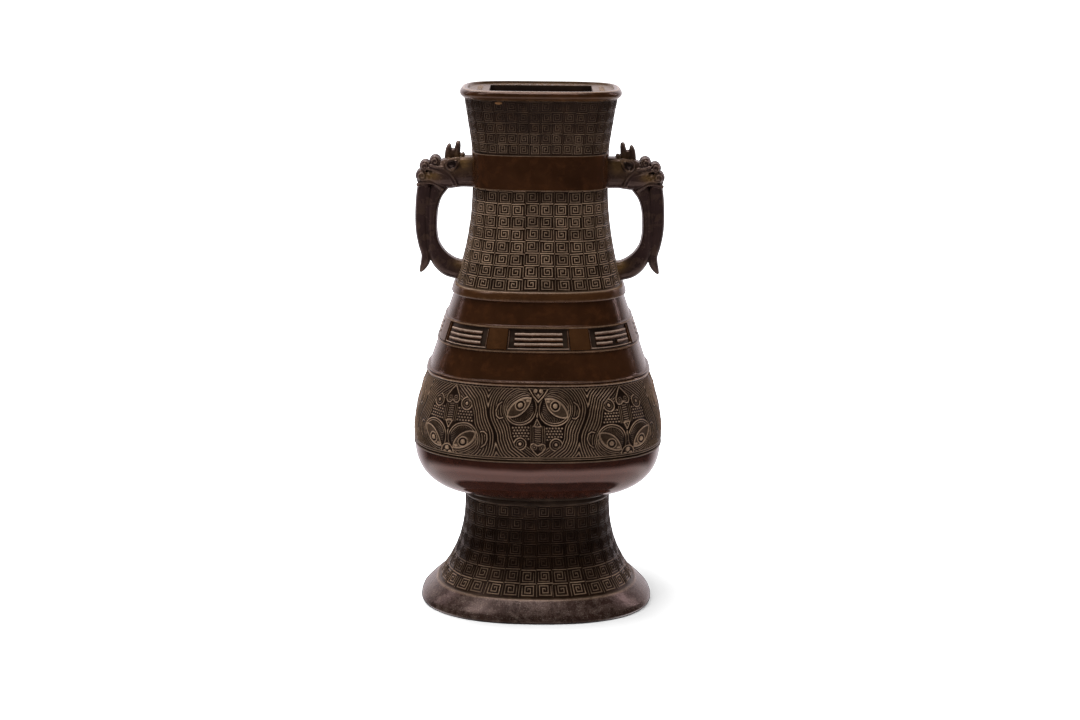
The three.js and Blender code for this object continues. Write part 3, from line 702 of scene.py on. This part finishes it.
def polygon_distance(x, y, path):
    """A signed distance to a closed path, below zero inside it."""
    path = np.asarray(path, float)
    inside = np.zeros(x.shape, bool)
    for (ax, ay), (bx, by) in zip(path, np.roll(path, -1, 0)):
        crosses = (ay > y) != (by > y)
        inside ^= crosses & (x < (bx - ax) * (y - ay) / (by - ay + 1e-12) + ax)
    distance = segment_distance(x, y, path, True)
    return np.where(inside, -distance, distance)


def ridge(distance, width, height):
    return height * np.clip(1 - (2 * np.abs(distance) / width) ** 2, 0, 1) ** 0.8


def dome(radius_from, radius, height):
    return height * np.sqrt(np.clip(1 - (radius_from / radius) ** 2, 0, 1))


def lens_distance(x, y, cx, cy, half_long, half_high, tilt):
    """A signed distance to an almond shape, and the height above its long axis."""
    c, s = math.cos(tilt), math.sin(tilt)
    u, v = (x - cx) * c + (y - cy) * s, -(x - cx) * s + (y - cy) * c
    radius = (half_long**2 + half_high**2) / (2 * half_high)
    shift = radius - half_high
    return np.maximum(np.hypot(u, v + shift), np.hypot(u, v - shift)) - radius, v


LOWER_FACE = [(-16.4, 4), (-16.4, -2), (-15.6, -7), (-13.3, -12), (-8, -16.4), (0, -22)]
LOWER_FACE += [(-x, y) for x, y in reversed(LOWER_FACE[:-1])]
HOOK = [(22.8, 14.0), (25.2, 12.0), (26.3, 8.8), (25.6, 5.6), (23.6, 4.0), (21.6, 4.6)]
SMALL_SPADE = [(0, -18.2), (2.4, -16.2), (4.5, -13.4), (4.2, -11.6), (2.6, -10.9), (1.0, -11.6), (0, -12.2)]
LARGE_SPADE = [(0, -21.6), (2.4, -18.6), (4.8, -15.4), (5.2, -13.2), (4.0, -11.5), (2.0, -11.3), (0, -12.8)]


def soft_min(a, b, reach):
    """The smaller of two distances, rounded where they meet."""
    h = np.clip(0.5 + 0.5 * (b - a) / reach, 0, 1)
    return mix(b, a, h) - reach * h * (1 - h)


def mask_outline(x, y):
    """A signed distance to the mask's whole outline."""
    return soft_min(polygon_distance(x, y, LOWER_FACE), np.hypot(np.abs(x) - 10.8, y - 10.2) - 10.3, 3.0)


def stripes(value, pitch, width, height):
    return ridge(np.mod(value, pitch) - pitch / 2, width, height)


def mask_height(x, y, upright):
    """The relief of one mask in millimetres, eyes up. A mask that hangs has a trefoil where the other has a heart."""
    side = np.abs(x)
    r = np.hypot(side - 10.8, y - 10.2)
    outline = mask_outline(x, y)
    low_part = smooth((13.2 - y + 0.25 * (side - 10.8)) / 5)
    h = ridge(r - 9.9, 0.9, 0.85) * np.maximum(low_part, 0.6)
    h = np.maximum(h, ridge(r - 8.55, 0.85, 0.65) * low_part)
    lid, v = lens_distance(side, y, 11.8, 10.5, 8.8, 3.9, -0.645)
    angle = np.arctan2(y - 10.2, side - 10.8)
    h = np.maximum(h, stripes(angle * 7.5, 1.15, 0.75, 0.45) * ((v < 0) & (lid > 0.9) & (r < 7.9)))
    h = np.maximum(h, stripes(lid, 1.25, 0.85, 0.6) * ((v >= 0) & (lid > 0.3) & (r < 9.2)))
    h = np.maximum(h, ridge(lid, 0.95, 0.95))
    eye = np.hypot(side - 11, y - 12.0)
    h = np.maximum(h, 0.3 * (lid < 0))
    h = np.maximum(h, stripes(v, 0.95, 0.6, 0.3) * ((lid < -0.6) & (eye > 3.8)))
    h = np.where(eye < 2.5, dome(eye, 1.6, 1.4), h)
    h = np.maximum(h, ridge(eye - 3.0, 0.9, 0.9))
    h = np.maximum(h, dome(np.hypot((side - 6.6) * 0.6, y - 14.7), 0.9, 0.9))
    face = (outline < -0.6) & (r > 10.5)
    h = np.maximum(h, stripes(y + 0.3, 1.35, 0.8, 0.65) * ((side < 1.9) & (y < -0.6) & (y > -10.6)))
    for at in (2.9, 4.2):
        h = np.maximum(h, ridge(side - at, 0.75, 0.55) * ((y < 0.2) & (y > -10.4)))
    row = np.floor((y + 0.4) / 1.75)
    sx = np.mod(side + 0.95 * np.mod(row, 2), 1.9) - 0.95
    sy = np.mod(y + 0.4, 1.75) - 0.87
    roundel = np.hypot(side - 10.9, y + 11.4)
    scales = face & (side > 5.0) & (y < -0.4) & (y > -9.2) & (roundel > 4.6)
    h = np.maximum(h, np.where(scales, dome(np.hypot(sx / 0.8, sy / 0.62), 1.0, 0.75), 0))
    nose = polygon_distance(x, y, [(0, 4.2), (2.2, -0.2), (-2.2, -0.2)])
    h = np.where(nose < 0.4, 0, h)
    h = np.maximum(h, ridge(nose, 0.85, 0.9))
    h = np.maximum(h, dome(np.hypot(x, y - 1.1), 0.6, 0.7))
    h = np.maximum(h, stripes(-outline, 1.3, 0.8, 0.6) * (face & (y < -10.5) & (roundel > 4.2) & (outline > -4.2)))
    h = np.where(roundel < 4.3, 0, h)
    h = np.maximum(h, ridge(roundel - 3.7, 0.95, 0.8))
    h = np.maximum(h, ridge(roundel - 2.2, 0.75, 0.5))
    h = np.maximum(h, dome(roundel, 1.1, 0.9))
    half_spade = SMALL_SPADE if upright else LARGE_SPADE
    spade = polygon_distance(x, y, half_spade + [(-px, py) for px, py in reversed(half_spade[1:-1])])
    h = np.where(spade < 0.9, 0, h)
    h = np.maximum(h, ridge(spade, 0.95, 0.85))
    curl = np.hypot(side - 2.2, y - (-13.3 if upright else -13.9))
    h = np.maximum(h, ridge(curl - 1.35, 0.7, 0.55))
    h = np.maximum(h, dome(curl, 0.6, 0.7))
    if upright:
        heart = polygon_distance(x, y, [(-6.9, 22.6), (-3.4, 17.7), (0, 14.3), (3.4, 17.7), (6.9, 22.6)])
        h = np.where(heart < 0.8, 0, h)
        h = np.maximum(h, ridge(heart, 1.0, 0.95) * (y < 22))
        h = np.maximum(h, ridge(heart + 1.6, 0.8, 0.6) * (y < 20.6))
        h = np.maximum(h, dome(np.hypot(side - 1.8, y - 20.9), 1.4, 1.3))
        h = np.maximum(h, dome(np.hypot(x, y - 18.3), 0.9, 0.8))
    else:
        petal = np.hypot(x, y - 18.9)
        h = np.where(petal < 4.7, 0, h)
        h = np.maximum(h, ridge(petal - 4.4, 0.95, 0.8))
        for cx, cy in ((-1.9, 19.9), (1.9, 19.9), (0, 16.9)):
            h = np.maximum(h, dome(np.hypot(x - cx, y - cy), 1.6, 1.5))
    return h


def frieze_tile(pitch, step):
    """Heights of one upright and one hanging mask side by side, with the lines that flow between them."""
    xs = np.arange(-pitch / 2, 1.5 * pitch, step)
    ys = np.arange(-23.6, 23.6 + step, step)
    x, y = np.meshgrid(xs, ys)
    outline, relief, hook = np.full(x.shape, 1e9), np.zeros(x.shape), np.full(x.shape, 1e9)
    for centre, upright in ((-pitch, False), (0, True), (pitch, False), (2 * pitch, True)):
        flip = 1 if upright else -1
        here = mask_outline(x - centre, y * flip)
        crown = (np.abs(x - centre) < 7.2) & (y * flip > 12)
        relief = np.where((here < 0.5) | crown, mask_height(x - centre, y * flip, upright), relief)
        outline = soft_min(outline, np.where(crown, -1, here), 1.4)
        hook = np.minimum(hook, segment_distance(np.abs(x - centre), y * flip, HOOK))
    height = np.where((outline > 0.5), stripes(outline + 0.1, 1.6, 0.9, 0.62), relief)
    height = np.where((hook < 1.1) & (outline > 0.2), ridge(hook, 0.95, 0.8), height)
    return xs, ys, height


def frieze():
    """Eight masks in a slightly uneven line round the vessel, as a fine relief in four pieces."""
    middle = (UNDERSIDE + FRIEZE) / 2
    girth = girth_of(frieze_half, middle)
    pitch, step = girth / 8, 0.15
    xs, ys, tile = frieze_tile(pitch, step)
    columns, rows, low, high = 400, 156, 107.0, 152.1
    z = np.linspace(low, high, rows)
    quarters = (("frieze_front", -0.125), ("frieze_right", 0.125), ("frieze_back", 0.375), ("frieze_left", 0.625))
    for name, first in quarters:
        turn = first + 0.25 * np.arange(columns + 1) / columns
        t, level = np.meshgrid(turn, z)
        x = t * girth + 0.3 * np.sin(level / 5 + 8 * np.pi * t) + 0.12 * np.sin(level / 2.3 + 30 * np.pi * t)
        y = level - middle + 0.22 * np.sin(x / 6.1) + 0.12 * np.sin(x / 2.7 + 1)
        fx = np.mod(x + pitch / 2, 2 * pitch) / step
        fy = np.clip((y - ys[0]) / step, 0, len(ys) - 1.001)
        i, j = np.floor(fy).astype(int), np.minimum(np.floor(fx).astype(int), len(xs) - 1)
        k = (j + 1) % len(xs)
        u, v = fx - np.floor(fx), fy - i
        h = mix(mix(tile[i, j], tile[i, k], u), mix(tile[i + 1, j], tile[i + 1, k], u), v)
        h = np.where(level < low + 2.9, 0, h)
        for at in (low + 1.0, low + 2.3, high - 1.0):
            h = np.maximum(h, ridge(level - at, 0.85, 0.6))
        worn = 0.86 + 0.14 * np.sin(22 * np.pi * t + level / 7)
        edge = np.minimum(share(level, low, low + 0.5), share(high - level, 0, 0.5))
        lift = -0.42 + h * worn * edge - 0.4 * (1 - edge)
        points = surface(t, level, lift, frieze_half).reshape(-1, 3)
        faces = grid_faces(rows, columns + 1, False)
        # The low ground gets values below zero, darkened as dirt and painted shade; the crests get wear.
        bright = np.where(h < 0.14, (h - 0.14) * 4.5, np.clip((h - 0.14) / 0.52, 0, 1.1)) * worn * edge
        make_piece(name, points, faces, [GROUND], relief=bright.ravel(), sharp_deg=0)


def smooth_path(rows, count):
    """A Catmull-Rom curve through rows of numbers."""
    rows = np.asarray(rows, float)
    padded = np.vstack([2 * rows[0] - rows[1], rows, 2 * rows[-1] - rows[-2]])
    out = []
    for t in np.linspace(0, len(rows) - 1, count):
        i = min(int(t), len(rows) - 2)
        f = t - i
        a, b, c, d = padded[i : i + 4]
        out.append(0.5 * (2 * b + (c - a) * f + (2 * a - 5 * b + 4 * c - d) * f**2 + (3 * b - a - 3 * c + d) * f**3))
    return np.array(out)


def bar_points(rows, count, sides=20, power=3.0):
    """A closed bar through rows of x, y, z, half thickness and half depth, in the plane of the handle."""
    path = smooth_path(rows, count)
    along = np.gradient(path[:, [0, 2]], axis=0)
    along /= np.linalg.norm(along, axis=1, keepdims=True)
    angle = (np.arange(sides) + 0.5) / sides * 2 * np.pi
    c, s = np.cos(angle), np.sin(angle)
    across = np.sign(c) * np.abs(c) ** (2 / power)
    deep = np.sign(s) * np.abs(s) ** (2 / power)
    rings = []
    for (x, y, z, half, depth), (ax, az) in zip(path, along):
        rings.append(np.stack([x + az * across * half, y + deep * depth, z - ax * across * half], -1))
    return np.concatenate(rings), tube_faces(count, sides)


def ball_points(x, y, z, rx, ry, rz, rings=10, sides=16):
    lat = np.linspace(-np.pi / 2, np.pi / 2, rings + 2)[1:-1]
    lon = np.arange(sides) / sides * 2 * np.pi
    la, lo = np.meshgrid(lat, lon, indexing="ij")
    px, py, pz = x + rx * np.cos(la) * np.cos(lo), y + ry * np.cos(la) * np.sin(lo), z + rz * np.sin(la)
    return np.stack([px, py, pz], -1).reshape(-1, 3), tube_faces(rings, sides)


# The handle's parts in its own plane: rows of x, z, half thickness and half depth.
ARM = [(40.6, 277.0, 9.7, 7.2), (49, 277.0, 9.6, 7.2), (54, 276.3, 9.5, 7.5), (59, 275.4, 9.2, 7.6)]
ARM += [(63.5, 274.2, 7.4, 7.2), (68.5, 273.4, 4.8, 6.4), (73.5, 271.6, 3.4, 5.6), (76.2, 270.4, 1.6, 4.0)]
STRAP = [(61.8, 269.5, 5.6, 5.6), (65.2, 262.4, 4.2, 5.6), (66.8, 254.6, 3.3, 5.6), (67.3, 246.6, 3.0, 5.6)]
STRAP += [(67.3, 238, 3.1, 5.6), (66.4, 230.4, 4.0, 5.6), (63.0, 222.6, 5.6, 5.7), (57.6, 217.4, 6.3, 5.8)]
STRAP += [(51.6, 215.2, 6.1, 6.0), (46.2, 214.6, 6.3, 6.2)]
TONGUE = [(72.2, 269.0, 3.9, 5.6), (73.3, 261, 4.0, 5.4), (74.0, 250, 3.9, 5.3), (73.8, 240, 3.8, 5.2)]
TONGUE += [(72.9, 231.4, 3.2, 5.0), (71.5, 224.6, 2.7, 4.6), (71.7, 220, 2.7, 4.2), (73.4, 215.8, 1.8, 3.2)]
TONGUE += [(74.9, 213.2, 0.6, 2.0)]
GROOVE = [(69.8, 267, 1.8, 4.9), (70.4, 250, 1.7, 4.8), (70.0, 238, 1.8, 4.6), (69.2, 227, 1.6, 4.4)]
TALL_PRONG = [(52.2, 284.0, 2.2, 1.7), (51.9, 287.8, 1.9, 1.7), (51.6, 290.8, 1.7, 1.6), (51.2, 293.4, 1.4, 1.3)]
TALL_PRONG += [(51.1, 295.3, 0.7, 0.8)]
LOW_PRONG = [(57.2, 284.0, 2.2, 1.9), (57.2, 287.8, 2.0, 1.8), (57.1, 290.4, 1.7, 1.5), (56.8, 292.4, 1.2, 1.2)]
LOW_PRONG += [(56.6, 293.7, 0.5, 0.6)]
PRONG_WEB = [(50.6, 287.0, 2.5, 1.3), (54.2, 287.9, 2.9, 1.3), (57.6, 287.8, 2.8, 1.4)]
SMALL_PRONG = [(51.5, 286.6, 0.9, 1.1), (49.2, 287.2, 0.8, 1.0), (47.4, 287.8, 0.8, 0.9)]
# Lines of x and z on the head's side, then curls and teeth as x, z and radius.
EAR_RIM = [(58.3, 281.4), (57.2, 284.0), (54.2, 285.2), (50.2, 285.7), (51.2, 282.9), (52.6, 280.2), (55.6, 278.7)]
EAR_RIM += EAR_RIM[:1]
BROW_RIDGE = [(68.7, 281.2), (64.2, 279.9), (60.3, 279.7), (57.4, 277.7), (54.8, 275.0), (52.7, 271.2), (51.7, 267.9)]
CHEEK_RIDGE = [(70.4, 279.4), (64.6, 277.6), (60.6, 276.2), (57.6, 274.8), (55.0, 272.0), (53.4, 268.6)]
LIP_RIDGE = [(76.6, 268.6), (73.6, 269.6), (70.2, 270.2), (66.6, 269.8), (62.9, 267.8), (60.2, 265.6)]
MOUTH_LINE = [(72.6, 271.8), (68.4, 272.6), (64.6, 271.6)]
CURLS = [(65.4, 283.4, 3.5), (71.6, 280.4, 3.4), (73.4, 274.4, 4.0)]
TEETH = [(70.2, 273.2, 1.2), (67.4, 273.4, 1.1), (64.9, 274.6, 1.2), (66.2, 277.0, 1.3), (69.2, 276.0, 1.2)]

# The grain, in millimetres, at which a handle's parts are melted together.
HANDLE_VOXEL = 0.40


def hollows(mesh, passes=8):
    """The points of a mesh, and how proud of its surroundings each stands, below zero in grooves."""
    count = len(mesh.vertices)
    co, normals = np.empty(count * 3), np.empty(count * 3)
    mesh.vertices.foreach_get("co", co)
    mesh.vertices.foreach_get("normal", normals)
    edges = np.empty(len(mesh.edges) * 2, np.int64)
    mesh.edges.foreach_get("vertices", edges)
    co, normals, edges = co.reshape(-1, 3), normals.reshape(-1, 3), edges.reshape(-1, 2)
    degree = np.bincount(edges.ravel(), minlength=count).clip(1)
    mean = co.copy()
    for _ in range(passes):
        sums = [sum(np.bincount(a, mean[b, axis], count) for a, b in (edges.T, edges.T[::-1])) for axis in range(3)]
        mean = 0.5 * mean + 0.5 * np.stack(sums, -1) / degree[:, None]
    return co / MM, ((co - mean) * normals).sum(1) / MM


def handle(name, node, hand):
    """A beast's head on an arm, with a strap and a pendant tongue from its mouth, melted into one casting."""
    parts = []

    def bar(rows, count, y=0.0, sides=20, power=3.0):
        parts.append(bar_points([(x, y, z, half, depth) for x, z, half, depth in rows], count, sides, power))

    def line(path, count, y, radius):
        bar([(x, z, radius, radius) for x, z in path], count, y, 10, 2.0)

    bar(ARM, 44, power=3.2)
    bar(STRAP, 70)
    bar(TONGUE, 60)
    bar(GROOVE, 30)
    for side in (-1, 1):
        bar(TALL_PRONG, 20, 2.3 * side, 14, 2.2)
        bar(LOW_PRONG, 20, 2.3 * side, 14, 2.2)
        bar(PRONG_WEB, 12, 2.3 * side, 14, 2.2)
        bar(SMALL_PRONG, 10, 2.3 * side, 10, 2.0)
        parts.append(ball_points(51.2, 2.3 * side, 294.3, 1.3, 1.3, 1.2))
        parts.append(ball_points(56.2, 3.6 * side, 280.2, 6.6, 4.4, 5.4))
        line(EAR_RIM, 40, 8.0 * side, 0.8)
        parts.append(ball_points(54.8, 7.4 * side, 282.2, 3.4, 1.0, 2.4))
        line(BROW_RIDGE, 36, 6.9 * side, 0.9)
        line(CHEEK_RIDGE, 36, 6.8 * side, 0.85)
        line(LIP_RIDGE, 30, 5.5 * side, 1.0)
        line(MOUTH_LINE, 14, 6.1 * side, 0.6)
        for x, z, r in CURLS:
            parts.append(ball_points(x, 3.4 * side, z, r, 3.7, r, 14, 24))
            turns = np.linspace(0, 3.3 * np.pi, 34)
            reach = r * (0.86 - 0.66 * turns / turns[-1])
            y = 3.4 + 3.7 * np.sqrt(1 - (reach / (1.04 * r)) ** 2)
            rows = np.stack([x + reach * np.cos(turns + 1.2), side * y, z + reach * np.sin(turns + 1.2)], -1)
            rows = [(px, py, pz, 0.42, 0.5) for px, py, pz in rows]
            parts.append(bar_points(rows, 60, 8, 2.0))
        for x, z, r in TEETH:
            parts.append(ball_points(x, 5.8 * side, z, r, r, r, 6, 12))
    points, faces, start = [], [], 0
    for p, f in parts:
        points.append(p)
        faces += [[start + i for i in face] for face in f]
        start += len(p)
    points = np.concatenate(points)
    if hand < 0:
        points[:, 0] *= -1
        faces = [face[::-1] for face in faces]
    piece = make_piece(name, points, faces, [HANDLE], sharp_deg=0)
    remesh = piece.modifiers.new("melt", "REMESH")
    remesh.mode = "VOXEL"
    remesh.voxel_size = HANDLE_VOXEL * MM
    bpy.context.view_layer.update()
    melted = bpy.data.meshes.new_from_object(piece.evaluated_get(bpy.context.evaluated_depsgraph_get()))
    piece.modifiers.clear()
    piece.data = melted
    at, proud = hollows(melted)
    x, z = np.abs(at[:, 0]), at[:, 2]
    # Grooves get relief below zero, and the ear's hollow is pushed lower still: dirt, and painted shade in the hollows.
    ear = np.exp(-(((x - 54.6) / 3.9) ** 4) - ((z - 282.1) / 3.1) ** 4) * (np.abs(at[:, 1]) > 6.0)
    head = np.exp(-(((x - 50) / 8) ** 2) - ((z - 283) / 6) ** 2) * (1 - ear)
    # A patch at the teeth is a painted glint, laid on with the golden patina of the brow and the root.
    head += 1.2 * np.exp(-(((x - 67.5) / 4.5) ** 2) - ((z - 274.2) / 2.8) ** 2)
    root = (1.3 if hand > 0 else 0.5) * np.exp(-(((x - 50.5) / 4.5) ** 2) - ((z - 219) / 4) ** 2)
    relief, gold_and_glint = np.clip(proud / 0.24 - 0.9 * ear, -1, 0.75), np.clip(head + root, 0, 1)
    for label, values in (("relief", relief), ("gold_and_glint", gold_and_glint)):
        layer = melted.attributes.new(label, "FLOAT", "POINT")
        layer.data.foreach_set("value", values.astype(np.float32))
    melted.polygons.foreach_set("use_smooth", np.ones(len(melted.polygons), bool))
    if not melted.materials:
        melted.materials.append(HANDLE)
    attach(piece, "root")
    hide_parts(node)


vessel_body()
fret_band("upper_fret", 291.2, 323.9, 5, 40, throat_half, 0.68, 0.28, [0.62, 0.5, 0.36, 0.3, 0.25])
fret_band("neck_fret", 208.6, 269.0, 8, 30, neck_half, 0.78, 0.34, [1.0] * 7 + [0.6])
fret_band("foot_fret", 14.2, 70.4, 7, 32, flare_half, 0.75, 0.32, [0.95, 0.6, 0.3, 0.24, 0.24, 0.28, 0.34])
flange_fret()
casting_flaw()
rib_band()
frieze()
handle("handle_r", "right_handle", 1)
handle("handle_l", "left_handle", -1)

for piece in list(bpy.context.scene.objects):
    if piece.type == "MESH" and "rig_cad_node" not in piece and not piece.name.startswith(("handle_", "floor")):
        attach(piece, "root")
        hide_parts("vessel")

# The studio: a white sweep, a softbox overhead and dark screens on the camera's side.

CAMERA_DISTANCE, CAMERA_TILT, CAMERA_ROLL = 1.254, math.radians(12.92), math.radians(0.55)
AIM = Vector((0.0010, 0, 0.1564))
FOCAL_PIXELS, FRAME_PIXELS, SENSOR = 1967.0, 1080, 36.0

# Brightness of the surroundings in front, by the sine of the elevation. The bright step below is the lit table.
SCREENS = [(-1.0, 0.08), (-0.86, 0.10), (-0.82, 1.15), (-0.66, 1.15), (-0.60, 1.5), (-0.53, 1.5), (-0.45, 0.5)]
SCREENS += [(-0.40, 0.10), (-0.2, 0.04), (0.6, 0.04)]


def lit_surroundings():
    """A world that is white to the camera and behind the vase, and dark in front of it."""
    world = bpy.data.worlds.new("studio")
    world.use_nodes = True
    nodes, links = world.node_tree.nodes, world.node_tree.links
    apart = nodes.new("ShaderNodeSeparateXYZ")
    links.new(nodes.new("ShaderNodeTexCoord").outputs["Generated"], apart.inputs[0])
    height = maths(nodes, links, "MULTIPLY_ADD", apart.outputs["Z"], 0.5)
    height.node.inputs[2].default_value = 0.5
    front = ramp(nodes, links, height, [((sine + 1) / 2, glow) for sine, glow in SCREENS])
    behind = nodes.new("ShaderNodeMapRange")
    behind.interpolation_type = "SMOOTHSTEP"
    for name, value in (("From Min", 0.35), ("From Max", 0.85), ("To Min", 0.0), ("To Max", 1.0)):
        behind.inputs[name].default_value = value
    links.new(apart.outputs["Y"], behind.inputs["Value"])
    seen = nodes.new("ShaderNodeLightPath").outputs["Is Camera Ray"]
    glow = blend(nodes, links, behind.outputs["Result"], front, (1.0, 0.90, 0.93))
    glow = blend(nodes, links, seen, glow, (1.6, 1.6, 1.6))
    links.new(glow, nodes["Background"].inputs[0])
    bpy.context.scene.world = world


def softbox(name, place, size_x, size_y, power, colour=(1, 1, 1), aim=(0, 0, 0.17)):
    data = bpy.data.lights.new(name, "AREA")
    data.shape = "RECTANGLE"
    data.size, data.size_y = size_x, size_y
    data.energy = power
    data.color = colour
    lamp = bpy.data.objects.new(name, data)
    lamp.location = place
    lamp.rotation_euler = (Vector(aim) - Vector(place)).to_track_quat("-Z", "Y").to_euler()
    bpy.context.scene.collection.objects.link(lamp)


def sweep():
    """The floor. It shows as the white of the surroundings, with the vase's soft shadow on it."""
    material, _, _, shader = new_material("floor_paper")
    shader.inputs["Base Color"].default_value = (0.9, 0.9, 0.9, 1)
    shader.inputs["Roughness"].default_value = 0.9
    size = 3.0
    mesh = bpy.data.meshes.new("floor")
    mesh.from_pydata([(-size, -size, 0), (size, -size, 0), (size, size, 0), (-size, size, 0)], [], [(0, 1, 2, 3)])
    mesh.materials.append(material)
    floor = bpy.data.objects.new("floor", mesh)
    floor.visible_glossy = False
    floor.is_shadow_catcher = True
    bpy.context.scene.collection.objects.link(floor)


def camera():
    data = bpy.data.cameras.new("camera")
    data.sensor_width = SENSOR
    data.lens = FOCAL_PIXELS / FRAME_PIXELS * SENSOR
    data.clip_start = 0.01
    seen_from = bpy.data.objects.new("camera", data)
    seen_from.location = AIM + CAMERA_DISTANCE * Vector((0, -math.cos(CAMERA_TILT), math.sin(CAMERA_TILT)))
    seen_from.rotation_euler = (AIM - seen_from.location).to_track_quat("-Z", "Y").to_euler()
    seen_from.rotation_euler.rotate_axis("Z", CAMERA_ROLL)
    bpy.context.scene.collection.objects.link(seen_from)
    bpy.context.scene.camera = seen_from


bpy.context.scene.view_settings.view_transform = "Standard"
sweep()
lit_surroundings()
softbox("top_softbox", (-0.2, -0.25, 2.0), 1.2, 1.0, 21)
softbox("key_softbox", (-1.0, -0.7, 1.35), 0.45, 0.45, 3.4)
softbox("left_strip", (-1.0, 0.35, 0.78), 0.12, 0.9, 1.2, (1.0, 0.86, 0.9))
softbox("right_strip", (1.0, 0.35, 0.78), 0.12, 0.9, 2.0, (1.0, 0.86, 0.9))
softbox("back_softbox", (-0.4, 1.0, 1.6), 0.9, 0.9, 6)
camera()
